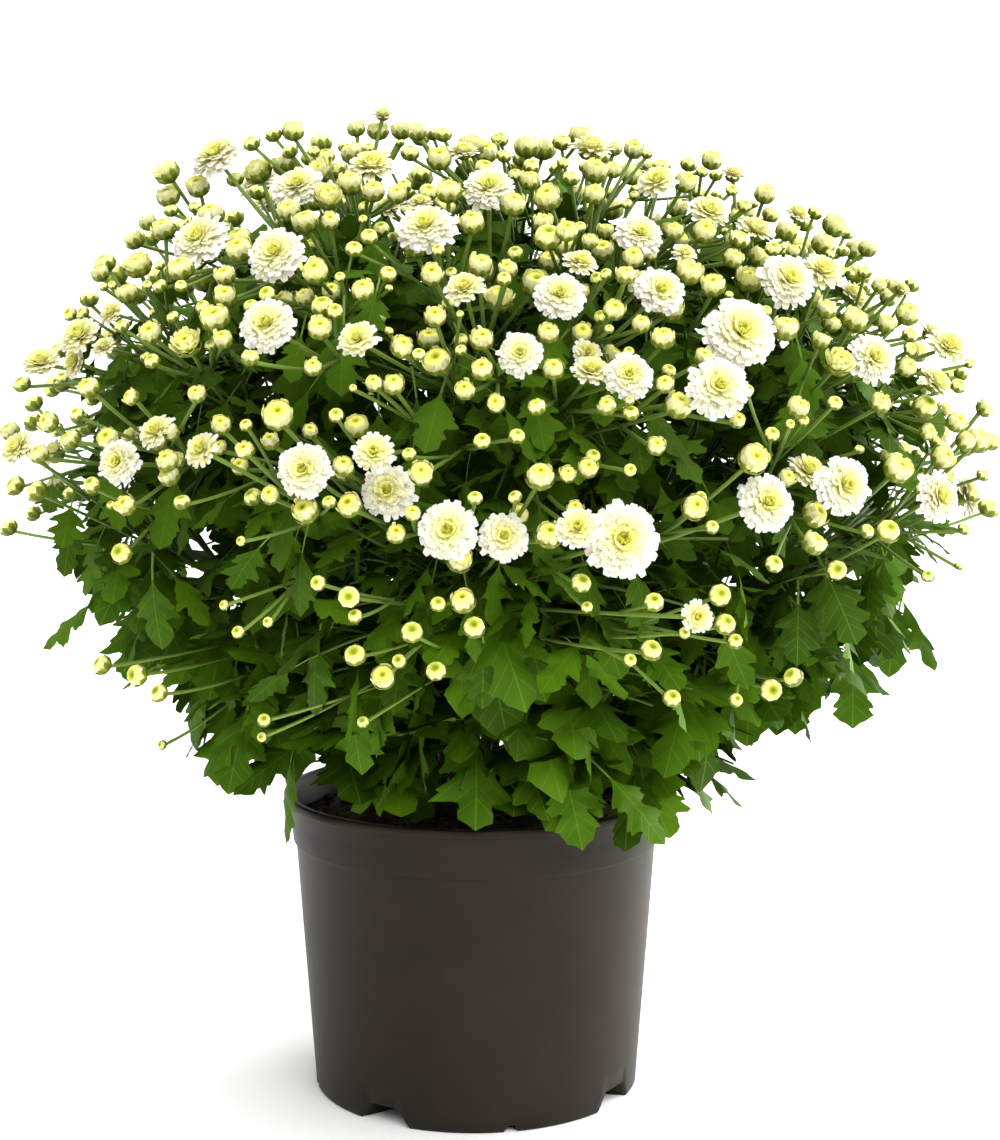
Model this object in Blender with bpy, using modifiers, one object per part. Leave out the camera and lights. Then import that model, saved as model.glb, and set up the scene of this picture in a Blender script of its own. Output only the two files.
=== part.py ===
# Pot chrysanthemum: a nursery pot of soil, leafy stems with buds and half-open heads,
# and wide open white blooms, each on its own stalk.
# Metres, +Z up. The origin is the middle of the pot's underside and -Y is the front.

import math
import random

import bmesh
import bpy
import numpy as np
from mathutils import Matrix
from mathutils import Vector

# Pot
potHeight = 0.163
rimRadius = 0.105
bandRadius = 0.1012
bodyRadius = 0.0986
baseRadius = 0.0885
lipHeight = 0.0046
bandHeight = 0.0222
wallThickness = 0.0018
floorThickness = 0.0025
potSides = 28
footCount = 4
footTurn = math.radians(-77.5)
gapWidth = 0.030
gapHeight = 0.0095
gapDepth = 0.020
notchWidth = 0.006
notchHeight = 0.0035

# Soil
soilLevel = 0.150
soilMound = 0.004
soilSides = 20
holeDepth = 0.030
seatGap = 0.0003

# Plant, an ellipsoid of heads around crownCentre
crownCentre = Vector((0.0125, 0.0, 0.335))
crownSize = Vector((0.268, 0.268, 0.178))
stemRadius = 0.0026
stemTopRadius = 0.0017
stalkRadius = 0.0011
stalkReach = 1.2 * stalkRadius
bloomRise = 0.36
stemReach = 0.72
bladeThickness = 0.0009
bladeLength = 0.058
petioleLength = 0.014
leafCount = 6

# How far apart things are kept: heads from all else, stalks and leaves from other nodes, and
# the extra width that a stem or stalk is given while its place is looked for
headClearance = 0.0005
clearance = 0.0004
stemMargin = 0.0002
stalkMargin = 0.0003
nearRoot = 0.014
nearLeafRoot = 0.009

# The view that the heads' places were read in
viewPoint = Vector((0.0133, -1.1, 0.399))
viewTilt = math.radians(6.03)
viewFocal = 2034.0
viewMiddle = (500.0, 570.0)

# Rings of main stems: how many, their lean from upright in degrees, their distance from the
# pot's axis where they leave the soil, how far round the first one is turned and how far along
# it its leaves start
stemRings = (
    (1, 4.0, 0.004, 20.0, 0.30),
    (5, 38.0, 0.024, 12.0, 0.30),
    (6, 68.0, 0.040, 30.0, 0.32),
    (5, 106.0, 0.056, 266.0, 0.40),
)
stemSteps = 4

# Column, row and width of the open blooms, each a node
openBlooms = (
    (217, 157, 55), (298, 188, 55), (200, 240, 60), (276, 255, 60), (426, 228, 60),
    (489, 189, 54), (268, 325, 59), (560, 296, 53), (304, 470, 57), (388, 491, 56),
    (639, 235, 49), (660, 291, 52), (740, 333, 76), (718, 388, 66), (629, 376, 50),
    (787, 281, 60), (872, 359, 55), (843, 486, 64), (766, 503, 60), (937, 497, 55),
    (448, 531, 62), (504, 537, 52), (621, 540, 79), (520, 354, 47), (119, 462, 46),
)

# Column, row and width of the smaller open blooms, fused to their stems
smallBlooms = (
    (371, 167, 49), (465, 289, 42), (358, 340, 42), (202, 450, 40), (709, 212, 42),
    (590, 149, 45), (822, 272, 45), (947, 347, 45), (578, 528, 45), (41, 363, 40),
    (697, 617, 34), (374, 453, 43), (591, 372, 42), (18, 448, 40),
)

# Column, row and width of the half-open heads
halfOpenHeads = (
    (137, 264, 30), (315, 271, 28), (186, 342, 32), (278, 415, 32), (421, 473, 26),
    (548, 197, 28), (678, 405, 30), (839, 361, 32), (898, 469, 30), (540, 476, 30),
    (463, 601, 26), (383, 677, 26), (437, 361, 30), (835, 225, 26), (978, 440, 28),
)

# Column, row and width of the round buds low on the plant
lowBuds = (
    (349, 597, 22), (355, 655, 22), (436, 671, 20), (363, 722, 12), (651, 650, 22),
    (725, 624, 22), (837, 570, 20), (771, 690, 22), (102, 665, 20), (137, 675, 22),
    (159, 693, 18), (264, 720, 14),
)

# Places along a main stem where a stalk can branch off, each used once
branchShares = tuple(1.0 - 0.015 * i for i in range(36))

# What a place to branch off costs: a stalk off the usual length, by how much it is off, a
# sharp turn from the stem, a head turned from its stalk, and each head the stem already has
shortestStalk = 0.012
longestStalk = 0.150
usualStalk = 0.070
lengthCost = 20.0
turnCost = 1.3
tiltCost = 1.2
crowding = 0.12
sharpestTurn = 1.25
widestReach = 1.3
branchTries = 14

# Heads spread over the crown by kind: how many, their smallest and largest radius, the
# nearest y to the front, how far apart they stay from their like and the weight on the top
lowestHead = -0.15
backOnly = 0.035
everywhere = -1.0
spreadTries = 60
spreadHeads = {
    "bloom": (14, (0.0125, 0.016), backOnly, 0.075, 0.5),
    "smallBloom": (12, (0.0105, 0.012), backOnly, 0.075, 0.5),
    "halfOpen": (14, (0.0072, 0.009), backOnly, 0.075, 0.5),
    "bud": (38, (0.0045, 0.0062), everywhere, 0.050, 0.8),
}

# Leaves: the range of their size, hang, fan about the way out, roll, bend and cup
leafSizes = (0.84, 1.16)
leafHang = (0.0, 1.1)
leafFan = 1.9
leafRoll = 0.4
leafBend = (0.10, 0.28)
leafCup = (0.05, 0.22)
leafTries = 90
leafCrown = 1.06
rimClearance = 0.006
overRim = 0.020


def unit(vector):
    return vector.normalized()


def across(direction):
    """Any unit vector square to a direction."""
    guide = Vector((0.0, 0.0, 1.0))
    if abs(direction.z) > 0.9:
        guide = Vector((1.0, 0.0, 0.0))
    return direction.cross(guide).normalized()


def turned(axis, origin):
    """The matrix that stands a shape made round +Z along an axis, at an origin."""
    matrix = axis.to_track_quat("Z", "Y").to_matrix().to_4x4()
    matrix.translation = origin
    return matrix


def crownPoint(direction, share):
    """The point in a direction at a share of the crown's size."""
    return crownCentre + Vector(size * part * share for size, part in zip(crownSize, direction))


def crownShare(point):
    """How far out from the crown's middle a point is: 1 on its surface."""
    return Vector((point - crownCentre)[i] / crownSize[i] for i in range(3)).length


def seenPoint(column, row, share=1.0):
    """Where the line of sight through a column and row first meets the crown, or passes it nearest."""
    forward = Vector((0.0, math.cos(viewTilt), -math.sin(viewTilt)))
    upward = Vector((0.0, math.sin(viewTilt), math.cos(viewTilt)))
    ray = forward + upward * ((viewMiddle[1] - row) / viewFocal)
    ray.x = (column - viewMiddle[0]) / viewFocal
    size = crownSize * share
    start = Vector((viewPoint - crownCentre)[i] / size[i] for i in range(3))
    step = Vector(ray[i] / size[i] for i in range(3))
    a = step.dot(step)
    b = start.dot(step)
    c = start.dot(start) - 1.0
    inside = max(b * b - a * c, 0.0)
    return viewPoint + ray * ((-b - math.sqrt(inside)) / a)


def seenSize(point, width):
    """The real radius of something that looks width wide at a point."""
    depth = point.y - viewPoint.y
    return 0.5 * width * depth / viewFocal


class Room:
    """The space taken so far, as small spheres that each belong to a node."""

    def __init__(self):
        self.spheres = np.zeros((0, 4))
        self.nodes = np.zeros(0, dtype=int)

    def add(self, spheres, node):
        self.spheres = np.vstack((self.spheres, spheres))
        self.nodes = np.concatenate((self.nodes, np.full(len(spheres), node)))

    def isFree(self, spheres, gap, exceptNode=None):
        if not len(spheres) or not len(self.spheres):
            return True
        middle = spheres[:, :3].mean(axis=0)
        reach = np.linalg.norm(spheres[:, :3] - middle, axis=1).max() + spheres[:, 3].max() + gap
        distance = np.linalg.norm(self.spheres[:, :3] - middle, axis=1)
        near = distance < reach + self.spheres[:, 3]
        if exceptNode is not None:
            near &= self.nodes != exceptNode
        if not near.any():
            return True
        other = self.spheres[near]
        apart = np.linalg.norm(other[:, None, :3] - spheres[None, :, :3], axis=2)
        return bool((apart - other[:, None, 3] - spheres[None, :, 3]).min() > gap)


def lineSpheres(points, radius, step=0.003):
    """Spheres along a run of points."""
    rows = []
    for start, end in zip(points, points[1:]):
        count = max(1, round((end - start).length / step))
        for i in range(count + 1):
            rows.append((*start.lerp(end, i / count), radius))
    return np.array(rows)


def headSpheres(head):
    """Spheres that fill a head, in shares of its radius: a flat round or, for buds, a ball."""
    point, axis, radius = head["point"], head["axis"], head["radius"]
    side = across(axis)
    rows = []
    if head["kind"] in ("bloom", "smallBloom"):
        grain = 0.30 * radius
        middle = point + axis * 0.08 * radius
        rows.append((*(point - axis * 0.12 * radius), grain))
        for share, count in ((0.0, 1), (0.42, 6), (0.80, 12)):
            for i in range(count):
                spoke = Matrix.Rotation(2.0 * math.pi * i / count, 3, axis) @ side
                rows.append((*(middle + spoke * share * radius), grain))
    else:
        grain = 0.62 * radius
        for i in range(4):
            spoke = Matrix.Rotation(0.5 * math.pi * i, 3, axis) @ side
            rows.append((*(point + spoke * 0.42 * radius), grain))
        rows.append((*(point + axis * 0.35 * radius), grain))
        rows.append((*(point - axis * 0.40 * radius), grain))
    return np.array(rows)


# Half of a leaf's outline: its place along the blade and out from the midrib, as shares of the
# blade's length, with a lobe at the base, the hollow above it and the main side lobe
lobeOutline = ((0.16, 0.31), (0.38, 0.13), (0.60, 0.34))
leafGrain = 0.004


def leafWidth(share):
    """Half the width that a blade's lobes fill at a share of its length."""
    return 0.34 * math.sin(math.pi * min(max(share, 0.03), 0.97)) ** 0.7


def leafPoint(leaf, along, out):
    """A point of a leaf, from its distance along the midrib past the root and out from it."""
    bend = leaf["bend"] * along * along / leaf["reach"]
    cup = leaf["cup"] * abs(out)
    heading, side, face = leaf["heading"], leaf["side"], leaf["face"]
    return leaf["root"] + heading * along + side * out - face * bend - face * cup


def leafSpheres(leaf):
    """Spheres over a leaf's stalk and blade."""
    rows = []
    for i in range(int(petioleLength / leafGrain) + 1):
        rows.append((*leafPoint(leaf, i * leafGrain, 0.0), 0.4 * leafGrain))
    count = int(leaf["length"] / leafGrain) + 1
    for i in range(count + 1):
        share = i / count
        width = leafWidth(share) * leaf["length"]
        steps = int(width / leafGrain) + 1
        for j in range(-steps, steps + 1):
            along = petioleLength + share * leaf["length"]
            rows.append((*leafPoint(leaf, along, width * j / steps), 0.55 * leafGrain))
    return np.array(rows)


def stemPath(lean, turn, foot):
    """A main stem's route: up out of the soil, then leaning out to its place in the crown."""
    heading = Vector((math.cos(turn), math.sin(turn), 0.0))
    bottom = heading * foot + Vector((crownCentre.x * 0.4, 0.0, soilLevel - holeDepth + 2.0 * seatGap))
    collar = bottom.copy()
    collar.z = soilLevel + soilMound + 0.004
    direction = Vector((math.sin(lean) * heading.x, math.sin(lean) * heading.y, math.cos(lean)))
    tip = crownPoint(direction, stemReach)
    rise = (tip - collar).length
    first = collar + Vector((0.0, 0.0, 0.42 * rise)) + heading * 0.05 * rise
    second = tip - unit(Vector((direction.x, direction.y, 0.35))) * 0.25 * rise
    points = [bottom]
    for i in range(stemSteps + 1):
        t = i / stemSteps
        s = 1.0 - t
        points.append(collar * s ** 3 + first * 3 * s * s * t + second * 3 * s * t * t + tip * t ** 3)
    return points, direction


def alongPath(points, share):
    """The point and heading at a share of a route's length."""
    lengths = [(b - a).length for a, b in zip(points, points[1:])]
    rest = share * sum(lengths)
    for start, end, length in zip(points, points[1:], lengths):
        if rest <= length:
            return start.lerp(end, rest / length), unit(end - start)
        rest -= length
    return points[-1].copy(), unit(points[-1] - points[-2])


def planStems(room):
    stems = []
    for count, lean, foot, turn, leafFrom in stemRings:
        for i in range(count):
            around = math.radians(turn + 360.0 * i / count)
            points, direction = stemPath(math.radians(lean), around, foot)
            stem = {
                "points": points,
                "direction": direction,
                "heads": [],
                "leaves": [],
                "used": [],
                "leafFrom": leafFrom,
            }
            stems.append(stem)
            room.add(lineSpheres(points, stemRadius + stemMargin), len(stems) - 1)
    return stems


def stalkChoices(stems, base, axis):
    """Places to branch off for a head, best first: a stalk of middling length that turns little."""
    choices = []
    for index, stem in enumerate(stems):
        if stem["direction"].angle(base - crownCentre + Vector((0.0, 0.0, 0.05))) > widestReach:
            continue
        for share in branchShares:
            if share in stem["used"]:
                continue
            point, heading = alongPath(stem["points"], share)
            run = base - point
            length = run.length
            turn = heading.angle(run)
            if length > longestStalk or length < shortestStalk or turn > sharpestTurn:
                continue
            cost = lengthCost * abs(length - usualStalk) + turnCost * turn + tiltCost * axis.angle(run)
            cost += crowding * len(stem["heads"])
            choices.append((cost, index, share, point))
    choices.sort(key=lambda choice: choice[0])
    return choices[:branchTries]


# How far heads turn up and to the front, towards the light, from straight out of the crown
headTurn = Vector((0.0, -0.060, 0.070))

# How far below its middle each kind of head meets its stalk, as a share of its radius, and the
# number that blooms' nodes are counted from, past every stem's
headDepth = {"bloom": 0.34, "smallBloom": 0.42, "halfOpen": 0.85, "bud": 0.80}
firstBloomNode = 100


def seatBelow(lean):
    """How far below a bloom's base its stalk ends, so that a leaning stalk's flat end stays just clear."""
    return seatGap + max(0.0, stalkReach * (math.sin(lean) - bloomRise * math.cos(lean)))


def placeHead(stems, room, kind, point, radius, blooms):
    """Gives a head and its stalk a free place on a stem, and returns whether there was one."""
    axis = unit(point - crownCentre + headTurn)
    head = {"kind": kind, "point": point, "axis": axis, "radius": radius}
    body = headSpheres(head)
    if not room.isFree(body, headClearance):
        return False
    base = point - axis * headDepth[kind] * radius
    for cost, index, share, root in stalkChoices(stems, base, axis):
        run = unit(base - root)
        if kind == "bloom":
            end = base - axis * seatBelow(axis.angle(run))
        else:
            end = base + axis * 0.35 * radius
        stalk = lineSpheres([root, end], stalkRadius + stalkMargin)
        fromRoot = np.linalg.norm(stalk[:, :3] - np.array(root), axis=1)
        outer = stalk[fromRoot > nearRoot]
        inner = stalk[fromRoot <= nearRoot]
        if not room.isFree(outer, clearance) or not room.isFree(inner, clearance, exceptNode=index):
            continue
        head.update(root=root, end=end, stem=index)
        room.add(stalk, index)
        if kind == "bloom":
            blooms.append(head)
            room.add(body, firstBloomNode + len(blooms))
        else:
            room.add(body, index)
        stems[index]["heads"].append(head)
        stems[index]["used"].append(share)
        return True
    return False


def placeSeen(stems, room, kind, spots, blooms, draw):
    """Places heads where they are seen, nudged in or out until there is room."""
    for column, row, width in spots:
        for attempt in range(30):
            share = 1.0 if attempt == 0 else draw.uniform(0.90, 1.04)
            nudge = 0.0 if attempt < 6 else 3.0 + 0.5 * attempt
            point = seenPoint(column + draw.uniform(-nudge, nudge), row + draw.uniform(-nudge, nudge), share)
            if placeHead(stems, room, kind, point, seenSize(point, width), blooms):
                break


def crownDirection(draw, topWeight):
    """A random direction from the crown's middle, drawn more often near the top."""
    while True:
        direction = unit(Vector((draw.gauss(0, 1), draw.gauss(0, 1), draw.gauss(0, 1))))
        if direction.z < lowestHead:
            continue
        if draw.random() < 1.0 - topWeight * (0.75 - direction.z) / 1.5:
            return direction


def placeSpread(stems, room, kind, blooms, draw):
    """Spreads heads over the crown behind the nearest y, each as far from its like as there is room for."""
    count, sizes, nearest, spacing, topWeight = spreadHeads[kind]
    placed = []
    for tries in range(count * spreadTries):
        if len(placed) == count:
            break
        apart = spacing * (1.0 - 0.6 * tries / (count * spreadTries))
        point = crownPoint(crownDirection(draw, topWeight), draw.uniform(0.95, 1.03))
        if point.y < nearest:
            continue
        if any((point - other).length < apart for other in placed):
            continue
        if placeHead(stems, room, kind, point, draw.uniform(*sizes), blooms):
            placed.append(point)


def makeLeaf(root, heading, droop, length, draw):
    """A leaf's place and bend from its root, its level heading and how far it hangs."""
    level = unit(Vector((heading.x, heading.y, 0.0)))
    forward = unit(level * math.cos(droop) - Vector((0.0, 0.0, math.sin(droop))))
    side = unit(forward.cross(Vector((0.0, 0.0, 1.0))))
    side = Matrix.Rotation(draw.uniform(-leafRoll, leafRoll), 3, forward) @ side
    face = side.cross(forward)
    return {
        "root": root,
        "heading": forward,
        "side": side,
        "face": face,
        "length": length,
        "reach": length + petioleLength,
        "bend": draw.uniform(*leafBend),
        "cup": draw.uniform(*leafCup),
    }


def isClearOfPot(spheres):
    """Whether a leaf stays off the pot's wall and above the soil, and hangs little below the rim."""
    fromAxis = np.hypot(spheres[:, 0], spheres[:, 1])
    low = spheres[:, 2] < potHeight + clearance + leafGrain
    onWall = low & (fromAxis < rimRadius + rimClearance)
    return not onWall.any() and spheres[:, 2].min() > potHeight - overRim


def placeLeaf(stems, room, index, draw):
    """Gives a leaf a free place on a stem, and returns whether there was one."""
    stem = stems[index]
    root, heading = alongPath(stem["points"], draw.uniform(stem["leafFrom"], 1.0))
    outward = root - Vector((crownCentre.x * 0.4, 0.0, root.z))
    away = math.atan2(stem["direction"].y, stem["direction"].x)
    if outward.length > 0.03:
        away = math.atan2(outward.y, outward.x)
    turn = away + draw.uniform(-leafFan, leafFan)
    level = Vector((math.cos(turn), math.sin(turn), 0.0))
    leaf = makeLeaf(root, level, draw.uniform(*leafHang), bladeLength * draw.uniform(*leafSizes), draw)
    spheres = leafSpheres(leaf)
    if not isClearOfPot(spheres) or crownShare(Vector(spheres[-1, :3])) > leafCrown:
        return False
    fromRoot = np.linalg.norm(spheres[:, :3] - np.array(root), axis=1)
    if not room.isFree(spheres[fromRoot > nearLeafRoot], clearance):
        return False
    if not room.isFree(spheres[fromRoot <= nearLeafRoot], clearance, exceptNode=index):
        return False
    room.add(spheres, index)
    stem["leaves"].append(leaf)
    return True


def planPlant():
    """Every stem, head and leaf, placed clear of the others."""
    draw = random.Random(41)
    room = Room()
    stems = planStems(room)
    blooms = []
    placeSeen(stems, room, "bloom", openBlooms, blooms, draw)
    placeSpread(stems, room, "bloom", blooms, draw)
    placeSeen(stems, room, "smallBloom", smallBlooms, blooms, draw)
    placeSeen(stems, room, "halfOpen", halfOpenHeads, blooms, draw)
    placeSeen(stems, room, "bud", lowBuds, blooms, draw)
    placeSpread(stems, room, "smallBloom", blooms, draw)
    placeSpread(stems, room, "halfOpen", blooms, draw)
    placeSpread(stems, room, "bud", blooms, draw)
    for turn in range(leafCount):
        for index in range(len(stems)):
            for attempt in range(leafTries):
                if placeLeaf(stems, room, index, draw):
                    break
    return stems, blooms


def plainMaterial(name, colour, roughness):
    material = bpy.data.materials.new(name)
    material.use_nodes = True
    shader = material.node_tree.nodes["Principled BSDF"]
    shader.inputs["Base Color"].default_value = (*colour, 1.0)
    shader.inputs["Roughness"].default_value = roughness
    shader.inputs["Metallic"].default_value = 0.0
    return material


def newObject(name, mesh, collection, material=None, matrix=None):
    made = bpy.data.objects.new(name, mesh)
    collection.objects.link(made)
    if material:
        made.data.materials.append(material)
    if matrix:
        made.matrix_world = matrix
    return made


def meshFrom(name, shape):
    mesh = bpy.data.meshes.new(name)
    shape.to_mesh(mesh)
    shape.free()
    return mesh


def appliedMesh(shown):
    """An object's mesh with its modifiers applied."""
    bpy.context.view_layer.update()
    graph = bpy.context.evaluated_depsgraph_get()
    return bpy.data.meshes.new_from_object(shown.evaluated_get(graph), depsgraph=graph)


def turnedShape(name, profile, sides, collection, material):
    """A shape of revolution from a profile that runs from the axis round to the axis."""
    mesh = bpy.data.meshes.new(name)
    points = [(radius, 0.0, height) for radius, height in profile]
    edges = [(i, i + 1) for i in range(len(points) - 1)]
    mesh.from_pydata(points, edges, [])
    made = newObject(name, mesh, collection, material)
    screw = made.modifiers.new("turn", "SCREW")
    screw.steps = sides
    screw.render_steps = sides
    screw.use_merge_vertices = True
    screw.merge_threshold = 0.00005
    return made


def cutWith(made, cutters):
    cut = made.modifiers.new("cut", "BOOLEAN")
    cut.operation = "DIFFERENCE"
    cut.operand_type = "COLLECTION"
    cut.collection = cutters


def hideCutter(cutter):
    cutter.hide_render = True
    cutter.display_type = "WIRE"


def cutterCollection(name):
    made = bpy.data.collections.new(name)
    bpy.context.scene.collection.children.link(made)
    return made


def block(name, size, topShare, matrix, collection):
    """A box that stands on z = 0 and narrows towards its top."""
    shape = bmesh.new()
    bmesh.ops.create_cube(shape, size=1.0)
    for vert in shape.verts:
        narrow = topShare if vert.co.z > 0.0 else 1.0
        vert.co = Vector((vert.co.x * size[0], vert.co.y * size[1] * narrow, (vert.co.z + 0.5) * size[2]))
    made = newObject(name, meshFrom(name, shape), collection, None, matrix)
    hideCutter(made)
    return made


def innerRadius(height):
    """The radius of the pot's inside at a height."""
    share = min(max(height / (potHeight - bandHeight), 0.0), 1.0)
    return baseRadius - wallThickness - 0.002 + share * (bodyRadius - baseRadius + 0.0016)


def makePot(collection):
    material = plainMaterial("warm grey plastic", (0.060, 0.052, 0.045), 0.42)
    lipBottom = potHeight - lipHeight
    bandBottom = lipBottom - bandHeight
    edge = 0.0009
    mouth = rimRadius - lipHeight
    profile = (
        (0.0, floorThickness),
        (innerRadius(floorThickness), floorThickness),
        (innerRadius(bandBottom), bandBottom),
        (mouth, potHeight),
        (rimRadius - edge, potHeight),
        (rimRadius, potHeight - edge),
        (rimRadius, lipBottom + edge),
        (rimRadius - edge, lipBottom),
        (bandRadius + 0.0012, lipBottom),
        (bandRadius - 0.0008, bandBottom + edge),
        (bodyRadius, bandBottom),
        (baseRadius + 0.0003, edge * 2.0),
        (baseRadius - 0.0012, 0.0),
        (0.0, 0.0),
    )
    pot = turnedShape("pot", profile, potSides, collection, material)
    cutters = cutterCollection("pot cutters")
    for i in range(footCount):
        foot = footTurn + 2.0 * math.pi * i / footCount
        gap = foot + math.pi / footCount
        place = Matrix.Rotation(gap, 4, "Z") @ Matrix.Translation((baseRadius, 0.0, -0.001))
        block("gap", (2.0 * gapDepth, gapWidth, gapHeight + 0.001), 0.62, place, cutters)
        place = Matrix.Rotation(foot, 4, "Z") @ Matrix.Translation((baseRadius, 0.0, -0.001))
        block("notch", (0.012, notchWidth, notchHeight + 0.001), 0.8, place, cutters)
    cutWith(pot, cutters)
    return pot


def makeSoil(collection, stems):
    material = plainMaterial("potting mix", (0.030, 0.017, 0.011), 0.95)
    bottom = floorThickness + seatGap
    snug = math.cos(math.pi / potSides)
    profile = (
        (0.0, soilLevel + soilMound),
        (0.045, soilLevel + 0.8 * soilMound),
        (0.078, soilLevel),
        (innerRadius(soilLevel) * snug - 2.0 * seatGap, soilLevel - 0.002),
        (innerRadius(bottom) * snug - 2.0 * seatGap, bottom),
        (0.0, bottom),
    )
    soil = turnedShape("soil", profile, soilSides, collection, material)
    cutters = cutterCollection("soil cutters")
    for stem in stems:
        shape = bmesh.new()
        wide = stemRadius + 0.0014
        bmesh.ops.create_cone(
            shape, cap_ends=True, segments=5, radius1=wide, radius2=wide, depth=2.0 * holeDepth
        )
        foot = stem["points"][0]
        place = Matrix.Translation((foot.x, foot.y, soilLevel))
        hideCutter(newObject("hole", meshFrom("hole", shape), cutters, None, place))
    cutWith(soil, cutters)
    return soil


def stalkObject(name, root, end, collection):
    """A thin three-sided stalk between two points."""
    shape = bmesh.new()
    length = (end - root).length
    bmesh.ops.create_cone(
        shape, cap_ends=True, segments=3, radius1=stalkReach, radius2=stalkReach, depth=length
    )
    place = turned(unit(end - root), root.lerp(end, 0.5))
    return newObject(name, meshFrom(name, shape), collection, None, place)


def headObject(name, head, around, rings, profile, collection, material=None):
    """A head made from a globe whose rings are set out by a profile of ring and petal phase."""
    shape = bmesh.new()
    bmesh.ops.create_uvsphere(shape, u_segments=around, v_segments=rings, radius=1.0)
    for vert in shape.verts:
        ring = round(math.acos(min(max(-vert.co.z, -1.0), 1.0)) / math.pi * rings)
        turn = math.atan2(vert.co.y, vert.co.x)
        petal = round(turn / (2.0 * math.pi) * around)
        phase = 1.0 if petal % 2 == 0 else -1.0
        radius, height = profile(ring, phase, petal)
        if ring in (0, rings):
            radius = 0.0
        vert.co = Vector((radius * math.cos(turn), radius * math.sin(turn), height)) * head["radius"]
    roll = Matrix.Rotation(head["point"].x * 90.0, 4, "Z")
    place = turned(head["axis"], head["point"]) @ roll
    return newObject(name, meshFrom(name, shape), collection, material, place)


def stalkedHeadObject(name, head, around, profile, collection):
    """A head and its stalk in one: the lowest two rings of a globe lie round the stalk's ends."""
    point, axis, size = head["point"], head["axis"], head["radius"]
    rings = len(profile) + 1
    root = head["root"]
    run = unit(head["end"] - root)
    base = point + axis * profile[0][1] * size
    wide = 1.15 * stalkRadius
    shape = bmesh.new()
    bmesh.ops.create_uvsphere(shape, u_segments=around, v_segments=rings, radius=1.0)
    for vert in shape.verts:
        ring = round(math.acos(min(max(-vert.co.z, -1.0), 1.0)) / math.pi * rings)
        turn = math.atan2(vert.co.y, vert.co.x)
        spoke = Vector((math.cos(turn), math.sin(turn), 0.0))
        stalkSpoke = turned(run, Vector()).to_3x3() @ spoke
        headSpoke = turned(axis, Vector()).to_3x3() @ spoke
        if ring == 0:
            vert.co = root - run * 0.0004
        elif ring == 1:
            vert.co = root + stalkSpoke * wide
        elif ring == 2:
            vert.co = base + stalkSpoke * wide
        elif ring == rings:
            vert.co = point + axis * profile[-1][1] * size
        else:
            radius, height = profile[ring - 2]
            vert.co = point + (headSpoke * radius + axis * height) * size
    return newObject(name, meshFrom(name, shape), collection)


def bloomProfile(ring, phase, petal):
    """Two tiers of petals over a cone of bracts: the radius and height of each ring."""
    uneven = 0.04 * math.sin(2.3 * petal)
    tiers = (
        (0.0, -0.34),
        (0.86 + 0.13 * phase + uneven, -0.03 - uneven),
        (0.84 + 0.13 * phase + uneven, 0.06 - uneven),
        (0.55 - 0.11 * phase, 0.20 - 0.07 * phase),
        (0.24, 0.24),
        (0.0, 0.19),
    )
    return tiers[ring]


def smallBloomProfile(ring, phase, petal):
    """One tier of petals round a raised middle."""
    uneven = 0.05 * math.sin(1.7 * petal)
    tiers = (
        (0.0, -0.50),
        (0.84 + 0.15 * phase + uneven, -0.02),
        (0.76 + 0.11 * phase + uneven, 0.16),
        (0.38, 0.36),
        (0.0, 0.26),
    )
    return tiers[ring]


# A half-open cup and a round bud: the radius and height of each ring from the stalk up
halfOpenRings = ((0.1, -0.85), (1.0, 0.05), (0.70, 0.80), (0.0, 0.30))
budRings = ((0.1, -0.85), (1.0, -0.05), (0.0, 0.80))


def leafObject(name, leaf, collection):
    """A lobed, arched blade that narrows to its root, a thin sheet thickened by Solidify."""
    length = leaf["length"]
    outline = [(petioleLength + along * length, out * length) for along, out in lobeOutline]
    shape = bmesh.new()
    root = shape.verts.new(leaf["root"])
    left = [shape.verts.new(leafPoint(leaf, along, out)) for along, out in outline]
    right = [shape.verts.new(leafPoint(leaf, along, -out)) for along, out in outline]
    tip = shape.verts.new(leafPoint(leaf, leaf["reach"], 0.0))
    shape.faces.new((root, left[0], right[0]))
    for low in range(len(outline) - 1):
        shape.faces.new((left[low], left[low + 1], right[low + 1]))
        shape.faces.new((left[low], right[low + 1], right[low]))
    shape.faces.new((left[-1], tip, right[-1]))
    bmesh.ops.recalc_face_normals(shape, faces=shape.faces)
    made = newObject(name, meshFrom(name, shape), collection)
    thick = made.modifiers.new("thickness", "SOLIDIFY")
    thick.thickness = bladeThickness
    thick.offset = 0.0
    return made


def mainStemObject(name, stem, collection, material):
    """A main stem, a bevelled curve that thins towards its tip, made a mesh."""
    curve = bpy.data.curves.new(name, "CURVE")
    curve.dimensions = "3D"
    curve.bevel_depth = stemRadius
    curve.bevel_resolution = 0
    curve.use_fill_caps = True
    spline = curve.splines.new("POLY")
    points = stem["points"]
    spline.points.add(len(points) - 1)
    for i, point in enumerate(points):
        spline.points[i].co = (*point, 1.0)
        spline.points[i].radius = 1.0 + (stemTopRadius / stemRadius - 1.0) * i / (len(points) - 1)
    guide = bpy.data.objects.new(name + " guide", curve)
    collection.objects.link(guide)
    mesh = appliedMesh(guide)
    bpy.data.objects.remove(guide)
    shape = bmesh.new()
    shape.from_mesh(mesh)
    bmesh.ops.remove_doubles(shape, verts=shape.verts, dist=0.00001)
    shape.to_mesh(mesh)
    shape.free()
    return newObject(name, mesh, collection, material)


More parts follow.
